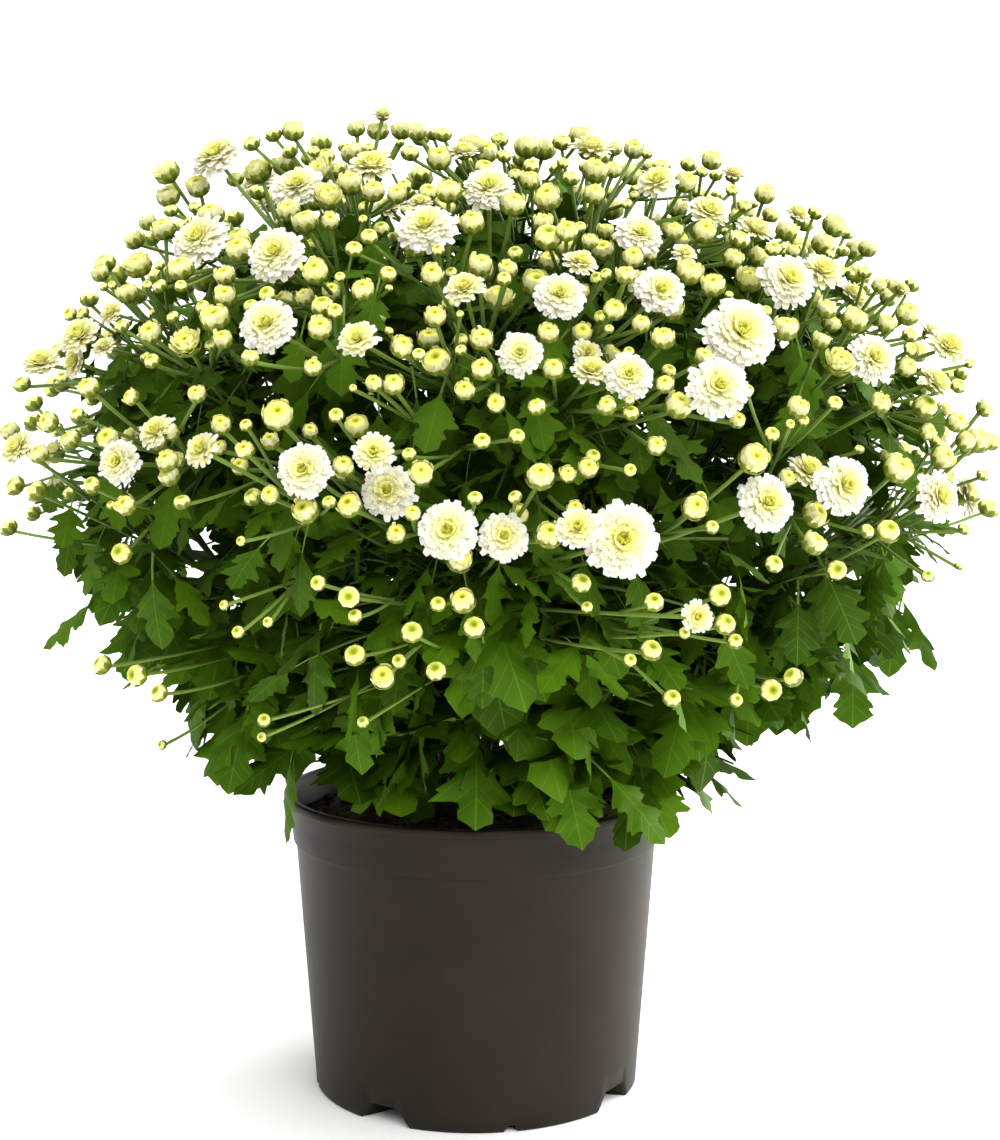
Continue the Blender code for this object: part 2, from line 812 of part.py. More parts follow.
def joinRepeats(made, repeats, solver):
    """Fuses a collection of repeats into an object and removes the collection."""
    join = made.modifiers.new("join", "BOOLEAN")
    join.operation = "UNION"
    join.operand_type = "COLLECTION"
    join.collection = repeats
    join.solver = solver
    mesh = appliedMesh(made)
    made.modifiers.clear()
    made.data = mesh
    for used in list(repeats.objects):
        bpy.data.objects.remove(used)
    bpy.data.collections.remove(repeats)


def makeLeafyStem(number, stem, collection, material):
    """One leafy stem: its main stem, stalks, leaves, buds and smaller heads fused into one body."""
    name = f"leafy_stem_{number:02d}"
    made = mainStemObject(name, stem, collection, material)
    repeats = bpy.data.collections.new(name + " repeats")
    bpy.context.scene.collection.children.link(repeats)
    for head in stem["heads"]:
        if head["kind"] == "halfOpen":
            stalkedHeadObject("half-open head", head, 6, halfOpenRings, repeats)
        elif head["kind"] == "bud":
            stalkedHeadObject("bud", head, 5, budRings, repeats)
        else:
            stalkObject("stalk", head["root"], head["end"], repeats)
        if head["kind"] == "smallBloom":
            headObject("small bloom", head, 10, 4, smallBloomProfile, repeats)
    for leaf in stem["leaves"]:
        leafObject("leaf", leaf, repeats)
    joinRepeats(made, repeats, "EXACT")
    return made


def makeBloom(number, head, collection, material):
    """One wide open bloom, a body of its own just clear of its stalk."""
    return headObject(f"bloom_{number:02d}", head, 12, 5, bloomProfile, collection, material)


def buildPlant():
    for old in list(bpy.data.objects):
        bpy.data.objects.remove(old)
    collection = bpy.data.collections.new("pot chrysanthemum")
    bpy.context.scene.collection.children.link(collection)
    stems, blooms = planPlant()
    makePot(collection)
    makeSoil(collection, stems)
    green = plainMaterial("leaf green", (0.075, 0.150, 0.020), 0.50)
    white = plainMaterial("petal white", (0.90, 0.90, 0.80), 0.60)
    for number, stem in enumerate(stems, start=1):
        makeLeafyStem(number, stem, collection, green)
    for number, head in enumerate(blooms, start=1):
        makeBloom(number, head, collection, white)


buildPlant()
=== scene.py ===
# Pot chrysanthemum: fine surfaces for its pot, soil, stems, leaves, buds and blooms.
# The plan below is the one that the solids were made from, so each fine piece stands
# where its solid does, and the rest of the plant is grown on from it.

import math
import random

import bpy
import numpy as np
from mathutils import Matrix
from mathutils import Vector


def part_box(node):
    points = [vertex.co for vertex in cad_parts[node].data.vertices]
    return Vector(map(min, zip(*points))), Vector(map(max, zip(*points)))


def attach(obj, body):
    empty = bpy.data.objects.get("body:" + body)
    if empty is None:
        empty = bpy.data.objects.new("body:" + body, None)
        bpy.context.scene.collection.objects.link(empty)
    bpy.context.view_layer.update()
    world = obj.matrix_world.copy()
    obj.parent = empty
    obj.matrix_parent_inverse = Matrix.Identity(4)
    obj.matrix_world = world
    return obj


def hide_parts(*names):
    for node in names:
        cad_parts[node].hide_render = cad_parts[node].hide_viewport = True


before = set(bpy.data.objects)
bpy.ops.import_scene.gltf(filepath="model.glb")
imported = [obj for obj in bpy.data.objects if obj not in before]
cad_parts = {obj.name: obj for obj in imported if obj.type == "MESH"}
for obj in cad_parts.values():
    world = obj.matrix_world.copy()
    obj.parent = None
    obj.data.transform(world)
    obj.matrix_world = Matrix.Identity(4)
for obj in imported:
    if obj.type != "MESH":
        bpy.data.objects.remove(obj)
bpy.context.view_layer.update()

# Pot and soil
potHeight = 0.163
rimRadius = 0.105
bandRadius = 0.1012
bodyRadius = 0.0986
baseRadius = 0.0885
lipHeight = 0.0046
bandHeight = 0.0222
wallThickness = 0.0018
footCount = 4
footTurn = math.radians(-77.5)
gapWidth = 0.030
gapHeight = 0.0095
gapDepth = 0.020
notchWidth = 0.006
notchHeight = 0.0035
notchDepth = 0.006
soilLevel = 0.150
soilMound = 0.004
holeDepth = 0.030
seatGap = 0.0003

# Plant, an ellipsoid of heads around crownCentre
crownCentre = Vector((0.0125, 0.0, 0.335))
crownSize = Vector((0.268, 0.268, 0.178))
stemRadius = 0.0026
stemTopRadius = 0.0017
stalkRadius = 0.0011
stalkReach = 1.2 * stalkRadius
bloomRise = 0.36
stemReach = 0.72
footShift = 0.4 * crownCentre.x
bladeLength = 0.058
petioleLength = 0.014
leafCount = 6
planSeed = 41

# How far apart things are kept: heads from all else, stalks and leaves from other nodes, the extra
# width that a stem or stalk is given while its place is looked for, and how near its root a stalk
# or a leaf may touch its own stem
headClearance = 0.0005
clearance = 0.0004
stemMargin = 0.0002
stalkMargin = 0.0003
nearRoot = 0.014
nearLeafRoot = 0.009

# The view that the heads' places were read in
viewPoint = Vector((0.0133, -1.1, 0.399))
viewTilt = math.radians(6.03)
viewFocal = 2034.0
viewMiddle = (500.0, 570.0)

# Rings of main stems: how many, their lean from upright in degrees, their distance from the
# pot's axis where they leave the soil, how far round the first one is turned and how far along
# it its leaves start
stemRings = (
    (1, 4.0, 0.004, 20.0, 0.30),
    (5, 38.0, 0.024, 12.0, 0.30),
    (6, 68.0, 0.040, 30.0, 0.32),
    (5, 106.0, 0.056, 266.0, 0.40),
)
stemSteps = 4

# Column, row and width of the open blooms, each a node
openBlooms = (
    (217, 157, 55), (298, 188, 55), (200, 240, 60), (276, 255, 60), (426, 228, 60), (489, 189, 54),
    (268, 325, 59), (560, 296, 53), (304, 470, 57), (388, 491, 56), (639, 235, 49), (660, 291, 52),
    (740, 333, 76), (718, 388, 66), (629, 376, 50), (787, 281, 60), (872, 359, 55), (843, 486, 64),
    (766, 503, 60), (937, 497, 55), (448, 531, 62), (504, 537, 52), (621, 540, 79), (520, 354, 47),
    (119, 462, 46),
)

# Column, row and width of the smaller open blooms, fused to their stems
smallBlooms = (
    (371, 167, 49), (465, 289, 42), (358, 340, 42), (202, 450, 40), (709, 212, 42), (590, 149, 45),
    (822, 272, 45), (947, 347, 45), (578, 528, 45), (41, 363, 40), (697, 617, 34), (374, 453, 43),
    (591, 372, 42), (18, 448, 40),
)

# Column, row and width of the half-open heads
halfOpenHeads = (
    (137, 264, 30), (315, 271, 28), (186, 342, 32), (278, 415, 32), (421, 473, 26), (548, 197, 28),
    (678, 405, 30), (839, 361, 32), (898, 469, 30), (540, 476, 30), (463, 601, 26), (383, 677, 26),
    (437, 361, 30), (835, 225, 26), (978, 440, 28),
)

# Column, row and width of the round buds low on the plant
lowBuds = (
    (349, 597, 22), (355, 655, 22), (436, 671, 20), (363, 722, 12), (651, 650, 22), (725, 624, 22),
    (837, 570, 20), (771, 690, 22), (102, 665, 20), (137, 675, 22), (159, 693, 18), (264, 720, 14),
)

# Places along a main stem where a stalk can branch off, each used once
branchShares = tuple(1.0 - 0.015 * i for i in range(36))

# What a place to branch off costs: a stalk off the usual length, by how much it is off, a
# sharp turn from the stem, a head turned from its stalk, and each head the stem already has
shortestStalk = 0.012
longestStalk = 0.150
usualStalk = 0.070
lengthCost = 20.0
turnCost = 1.3
tiltCost = 1.2
crowding = 0.12
sharpestTurn = 1.25
widestReach = 1.3
branchTries = 14

# Heads spread over the crown: kind, how many, their smallest and largest radius, the nearest y to
# the front, how far apart they stay, the weight on the top and their shares of the crown's size
lowestHead = -0.15
backOnly = 0.035
everywhere = -1.0
spreadTries = 60
spreadThinning = 0.6
spreadHeads = (
    ("bloom", 14, (0.0125, 0.016), backOnly, 0.075, 0.5, (0.95, 1.03)),
    ("smallBloom", 12, (0.0105, 0.012), backOnly, 0.075, 0.5, (0.95, 1.03)),
    ("halfOpen", 14, (0.0072, 0.009), backOnly, 0.075, 0.5, (0.95, 1.03)),
    ("bud", 38, (0.0045, 0.0062), everywhere, 0.050, 0.8, (0.95, 1.03)),
)

# Leaves: the range of their size, hang, fan about the way out, roll, bend and cup, how often each is
# tried, how near the axis a root counts as straight up, how far out in the crown tips may be, and
# how far leaves stay outside the rim and may hang below it
leafSizes = (0.84, 1.16)
leafHang = (0.0, 1.1)
leafFan = 1.9
leafRoll = 0.4
leafBend = (0.10, 0.28)
leafCup = (0.05, 0.22)
leafTries = 90
straightUp = 0.03
leafCrown = 1.06
rimClearance = 0.006
overRim = 0.020


def unit(vector):
    return vector.normalized()


def divided(first, second):
    # One vector's parts over another's.
    return Vector(part / size for part, size in zip(first, second))


def across(direction):
    # Any unit vector square to a direction.
    guide = Vector((0.0, 0.0, 1.0))
    if abs(direction.z) > 0.9:
        guide = Vector((1.0, 0.0, 0.0))
    return direction.cross(guide).normalized()


def crownPoint(direction, share):
    # The point in a direction at a share of the crown's size.
    return crownCentre + Vector(size * part * share for size, part in zip(crownSize, direction))


def crownShare(point):
    # How far out from the crown's middle a point is: 1 on its surface.
    return divided(point - crownCentre, crownSize).length


def sightRay(column, row):
    # The line of sight through a column and row, from the camera to one unit along its view.
    ray = Vector((0.0, math.cos(viewTilt), -math.sin(viewTilt)))
    ray += Vector((0.0, math.sin(viewTilt), math.cos(viewTilt))) * ((viewMiddle[1] - row) / viewFocal)
    ray.x = (column - viewMiddle[0]) / viewFocal
    return ray


def seenPoint(column, row, share=1.0):
    # Where the line of sight through a column and row first meets the crown, or passes it nearest.
    ray = sightRay(column, row)
    size = crownSize * share
    start = divided(viewPoint - crownCentre, size)
    step = divided(ray, size)
    a = step.dot(step)
    b = start.dot(step)
    c = start.dot(start) - 1.0
    inside = max(b * b - a * c, 0.0)
    return viewPoint + ray * ((-b - math.sqrt(inside)) / a)


def seenSize(point, width):
    # The real radius of something that looks width wide at a point.
    depth = point.y - viewPoint.y
    return 0.5 * width * depth / viewFocal


class Room:
    # The space taken so far, as small spheres that each belong to a node.

    def __init__(self):
        self.spheres = np.zeros((0, 4))
        self.nodes = np.zeros(0, dtype=int)

    def add(self, spheres, node):
        self.spheres = np.vstack((self.spheres, spheres))
        self.nodes = np.concatenate((self.nodes, np.full(len(spheres), node)))

    def isFree(self, spheres, gap, exceptNode=None):
        if not len(spheres) or not len(self.spheres):
            return True
        middle = spheres[:, :3].mean(axis=0)
        reach = np.linalg.norm(spheres[:, :3] - middle, axis=1).max() + spheres[:, 3].max() + gap
        distance = np.linalg.norm(self.spheres[:, :3] - middle, axis=1)
        near = distance < reach + self.spheres[:, 3]
        if exceptNode is not None:
            near &= self.nodes != exceptNode
        if not near.any():
            return True
        other = self.spheres[near]
        apart = np.linalg.norm(other[:, None, :3] - spheres[None, :, :3], axis=2)
        return bool((apart - other[:, None, 3] - spheres[None, :, 3]).min() > gap)

    def isFreeFrom(self, root, near, spheres, node):
        # The same with the usual clearance, where what lies near its root may touch its own node.
        isNear = np.linalg.norm(spheres[:, :3] - np.array(root), axis=1) <= near
        return self.isFree(spheres[~isNear], clearance) and self.isFree(spheres[isNear], clearance, node)


def makeHead(kind, point, radius):
    # A head that faces out of the crown and towards the light, and the spheres that fill it.
    head = {"kind": kind, "point": point, "axis": unit(point - crownCentre + headTurn), "radius": radius}
    return head, headSpheres(head)


def lineSpheres(points, radius, step=0.003):
    # Spheres along a run of points.
    rows = []
    for start, end in zip(points, points[1:]):
        count = max(1, round((end - start).length / step))
        for i in range(count + 1):
            rows.append((*start.lerp(end, i / count), radius))
    return np.array(rows)


def headSpheres(head):
    # Spheres that fill a head, in shares of its radius: a flat round or, for buds, a ball.
    point, axis, radius = head["point"], head["axis"], head["radius"]
    side = across(axis)
    rows = []
    if head["kind"] in ("bloom", "smallBloom"):
        grain = 0.30 * radius
        middle = point + axis * 0.08 * radius
        rows.append((*(point - axis * 0.12 * radius), grain))
        for share, count in ((0.0, 1), (0.42, 6), (0.80, 12)):
            for i in range(count):
                spoke = Matrix.Rotation(2.0 * math.pi * i / count, 3, axis) @ side
                rows.append((*(middle + spoke * share * radius), grain))
    else:
        grain = 0.62 * radius
        for i in range(4):
            spoke = Matrix.Rotation(0.5 * math.pi * i, 3, axis) @ side
            rows.append((*(point + spoke * 0.42 * radius), grain))
        rows.append((*(point + axis * 0.35 * radius), grain))
        rows.append((*(point - axis * 0.40 * radius), grain))
    return np.array(rows)


# How far apart the spheres are that fill a leaf
leafGrain = 0.004


def leafWidth(share):
    # Half the width that a blade's lobes fill at a share of its length.
    return 0.34 * math.sin(math.pi * min(max(share, 0.03), 0.97)) ** 0.7


def leafPoint(leaf, along, out):
    # A point of a leaf, from its distance along the midrib past the root and out from it.
    bend = leaf["bend"] * along * along / leaf["reach"]
    cup = leaf["cup"] * abs(out)
    heading, side, face = leaf["heading"], leaf["side"], leaf["face"]
    return leaf["root"] + heading * along + side * out - face * bend - face * cup


def leafSpheres(leaf):
    # Spheres over a leaf's stalk and blade.
    rows = []
    for i in range(int(petioleLength / leafGrain) + 1):
        rows.append((*leafPoint(leaf, i * leafGrain, 0.0), 0.4 * leafGrain))
    count = int(leaf["length"] / leafGrain) + 1
    for i in range(count + 1):
        share = i / count
        width = leafWidth(share) * leaf["length"]
        steps = int(width / leafGrain) + 1
        for j in range(-steps, steps + 1):
            along = petioleLength + share * leaf["length"]
            rows.append((*leafPoint(leaf, along, width * j / steps), 0.55 * leafGrain))
    return np.array(rows)


def stemPath(lean, turn, foot):
    # A main stem's route: up out of the soil, then leaning out to its place in the crown.
    heading = Vector((math.cos(turn), math.sin(turn), 0.0))
    bottom = heading * foot + Vector((footShift, 0.0, soilLevel - holeDepth + 2.0 * seatGap))
    collar = bottom.copy()
    collar.z = soilLevel + soilMound + 0.004
    direction = Vector((math.sin(lean) * heading.x, math.sin(lean) * heading.y, math.cos(lean)))
    tip = crownPoint(direction, stemReach)
    rise = (tip - collar).length
    first = collar + Vector((0.0, 0.0, 0.42 * rise)) + heading * 0.05 * rise
    second = tip - unit(Vector((direction.x, direction.y, 0.35))) * 0.25 * rise
    points = [bottom]
    for i in range(stemSteps + 1):
        t = i / stemSteps
        s = 1.0 - t
        points.append(collar * s ** 3 + first * 3 * s * s * t + second * 3 * s * t * t + tip * t ** 3)
    return points, direction


def alongPath(points, share):
    # The point and heading at a share of a route's length.
    lengths = [(b - a).length for a, b in zip(points, points[1:])]
    rest = share * sum(lengths)
    for start, end, length in zip(points, points[1:], lengths):
        if rest <= length:
            return start.lerp(end, rest / length), unit(end - start)
        rest -= length
    return points[-1].copy(), unit(points[-1] - points[-2])


def planStems(room):
    # The main stems, at even turns round each ring.
    stems = []
    for count, lean, foot, turn, leafFrom in stemRings:
        for i in range(count):
            around = math.radians(turn + 360.0 * i / count)
            points, direction = stemPath(math.radians(lean), around, foot)
            stem = {"points": points, "direction": direction, "leafFrom": leafFrom}
            stems.append(stem | {"heads": [], "leaves": [], "used": []})
            room.add(lineSpheres(points, stemRadius + stemMargin), len(stems) - 1)
    return stems


def stalkChoices(stems, base, axis):
    # Places to branch off for a head, best first: a stalk of middling length that turns little.
    choices = []
    for index, stem in enumerate(stems):
        if stem["direction"].angle(base - crownCentre + crownDrop) > widestReach:
            continue
        for share in branchShares:
            if share in stem["used"]:
                continue
            point, heading = alongPath(stem["points"], share)
            run = base - point
            length = run.length
            turn = heading.angle(run)
            if length > longestStalk or length < shortestStalk or turn > sharpestTurn:
                continue
            cost = lengthCost * abs(length - usualStalk) + turnCost * turn + tiltCost * axis.angle(run)
            cost += crowding * len(stem["heads"])
            choices.append((cost, index, share, point))
    choices.sort(key=lambda choice: choice[0])
    return choices[:branchTries]


# How far heads turn up and to the front, towards the light, from straight out of the crown, and how
# far below the crown's middle the point is that stems and stalks are judged to spread from
headTurn = Vector((0.0, -0.060, 0.070))
crownDrop = Vector((0.0, 0.0, 0.05))

# How far below its middle each kind of head meets its stalk and how far up into it the stalk goes,
# as shares of its radius, and the number that blooms' nodes are counted from, past every stem's
headDepth = {"bloom": 0.34, "smallBloom": 0.42, "halfOpen": 0.85, "bud": 0.80}
stalkSink = 0.35
firstBloomNode = 100


def seatBelow(lean):
    # How far below a bloom's base its stalk ends, so that a leaning stalk's flat end stays just clear.
    return seatGap + max(0.0, stalkReach * (math.sin(lean) - bloomRise * math.cos(lean)))


def placeHead(stems, room, kind, point, radius, blooms):
    # Gives a head and its stalk a free place on a stem, and returns whether there was one.
    head, body = makeHead(kind, point, radius)
    if not room.isFree(body, headClearance):
        return False
    axis = head["axis"]
    base = point - axis * headDepth[kind] * radius
    for cost, index, share, root in stalkChoices(stems, base, axis):
        if kind == "bloom":
            end = base - axis * seatBelow(axis.angle(unit(base - root)))
        else:
            end = base + axis * stalkSink * radius
        stalk = lineSpheres([root, end], stalkRadius + stalkMargin)
        if not room.isFreeFrom(root, nearRoot, stalk, index):
            continue
        head.update(root=root, end=end, stem=index)
        room.add(stalk, index)
        owner = index
        if kind == "bloom":
            blooms.append(head)
            owner = firstBloomNode + len(blooms)
        room.add(body, owner)
        stems[index]["heads"].append(head)
        stems[index]["used"].append(share)
        return True
    return False


# How heads are tried where they are seen: how often, at which shares of the crown's size after the
# first try, and how far aside in pixels once the still tries are over. Heads seen against the sky,
# with a y past the skyline's, are moved along their line of sight by up to the stagger's share
tryNames = ("count", "shares", "still", "nudge", "step", "skyline")
planTries = dict(zip(tryNames, (30, (0.90, 1.04), 6, 3.0, 0.5, 1.0)))
furtherTries = dict(zip(tryNames, (24, (0.86, 1.04), 0, 0.0, 0.4, -0.035)))
skylineStagger = 0.045


def placeSeen(kind, spots, tries, draw, place):
    # Places heads where they are seen, or near by until there is room, and returns how many it placed.
    made = 0
    for column, row, width in spots:
        for attempt in range(tries["count"]):
            share = 1.0 if attempt == 0 else draw.uniform(*tries["shares"])
            nudge = 0.0 if attempt < tries["still"] else tries["nudge"] + tries["step"] * attempt
            aside = [draw.uniform(-nudge, nudge) for side in range(2)]
            point = seenPoint(column + aside[0], row + aside[1], share)
            if point.y > tries["skyline"]:
                further = 1.0 + draw.uniform(-1.0, 1.0) * skylineStagger
                point = viewPoint + (point - viewPoint) * further
            if place(kind, point, seenSize(point, width)):
                made += 1
                break
    return made


def crownDirection(draw, topWeight):
    # A random direction from the crown's middle, drawn more often near the top.
    while True:
        direction = unit(Vector((draw.gauss(0, 1), draw.gauss(0, 1), draw.gauss(0, 1))))
        if direction.z < lowestHead:
            continue
        if draw.random() < 1.0 - topWeight * (0.75 - direction.z) / 1.5:
            return direction


def placeSpread(spread, tries, thinning, others, draw, place):
    # Spreads heads over the crown behind the nearest y, and returns how many it placed. Each stays
    # as far from the others as there is room for: the distance shrinks with each try.
    kind, count, sizes, nearest, spacing, topWeight, shares = spread
    made = 0
    for attempt in range(count * tries):
        if made == count:
            break
        apart = spacing * (1.0 - thinning * attempt / (count * tries))
        point = crownPoint(crownDirection(draw, topWeight), draw.uniform(*shares))
        if point.y < nearest or (np.linalg.norm(others - np.array(point), axis=1) < apart).any():
            continue
        if place(kind, point, draw.uniform(*sizes)):
            others = np.vstack((others, point))
            made += 1
    return made


def makeLeaf(root, heading, droop, length, draw):
    # A leaf's place and bend from its root, its level heading and how far it hangs.
    level = unit(Vector((heading.x, heading.y, 0.0)))
    forward = unit(level * math.cos(droop) - Vector((0.0, 0.0, math.sin(droop))))
    side = unit(forward.cross(Vector((0.0, 0.0, 1.0))))
    side = Matrix.Rotation(draw.uniform(-leafRoll, leafRoll), 3, forward) @ side
    face = side.cross(forward)
    return {
        "root": root,
        "heading": forward,
        "side": side,
        "face": face,
        "length": length,
        "reach": length + petioleLength,
        "bend": draw.uniform(*leafBend),
        "cup": draw.uniform(*leafCup),
    }


def isClearOfPot(spheres):
    # Whether a leaf stays off the pot's wall and above the soil, and hangs little below the rim.
    fromAxis = np.hypot(spheres[:, 0], spheres[:, 1])
    low = spheres[:, 2] < potHeight + clearance + leafGrain
    onWall = low & (fromAxis < rimRadius + rimClearance)
    return not onWall.any() and spheres[:, 2].min() > potHeight - overRim


def placeLeaf(stems, room, index, draw):
    # Gives a leaf a free place on a stem, and returns whether there was one.
    stem = stems[index]
    root, heading = alongPath(stem["points"], draw.uniform(stem["leafFrom"], 1.0))
    outward = root - Vector((footShift, 0.0, root.z))
    if outward.length <= straightUp:
        outward = stem["direction"]
    turn = math.atan2(outward.y, outward.x) + draw.uniform(-leafFan, leafFan)
    level = Vector((math.cos(turn), math.sin(turn), 0.0))
    leaf = makeLeaf(root, level, draw.uniform(*leafHang), bladeLength * draw.uniform(*leafSizes), draw)
    spheres = leafSpheres(leaf)
    if not isClearOfPot(spheres) or crownShare(Vector(spheres[-1, :3])) > leafCrown:
        return False
    if not room.isFreeFrom(root, nearLeafRoot, spheres, index):
        return False
    room.add(spheres, index)
    stem["leaves"].append(leaf)
    return True


def planPlant():
    # Every stem, head and leaf, placed clear of the others.
    draw = random.Random(planSeed)
    room = Room()
    stems = planStems(room)
    blooms = []

    def place(kind, point, radius):
        return placeHead(stems, room, kind, point, radius, blooms)

    def spread(row):
        placeSpread(row, spreadTries, spreadThinning, np.zeros((0, 3)), draw, place)

    placeSeen("bloom", openBlooms, planTries, draw, place)
    spread(spreadHeads[0])
    placeSeen("smallBloom", smallBlooms, planTries, draw, place)
    placeSeen("halfOpen", halfOpenHeads, planTries, draw, place)
    placeSeen("bud", lowBuds, planTries, draw, place)
    for row in spreadHeads[1:]:
        spread(row)
    for turn in range(leafCount):
        for index in range(len(stems)):
            for attempt in range(leafTries):
                if placeLeaf(stems, room, index, draw):
                    break
    return stems, blooms


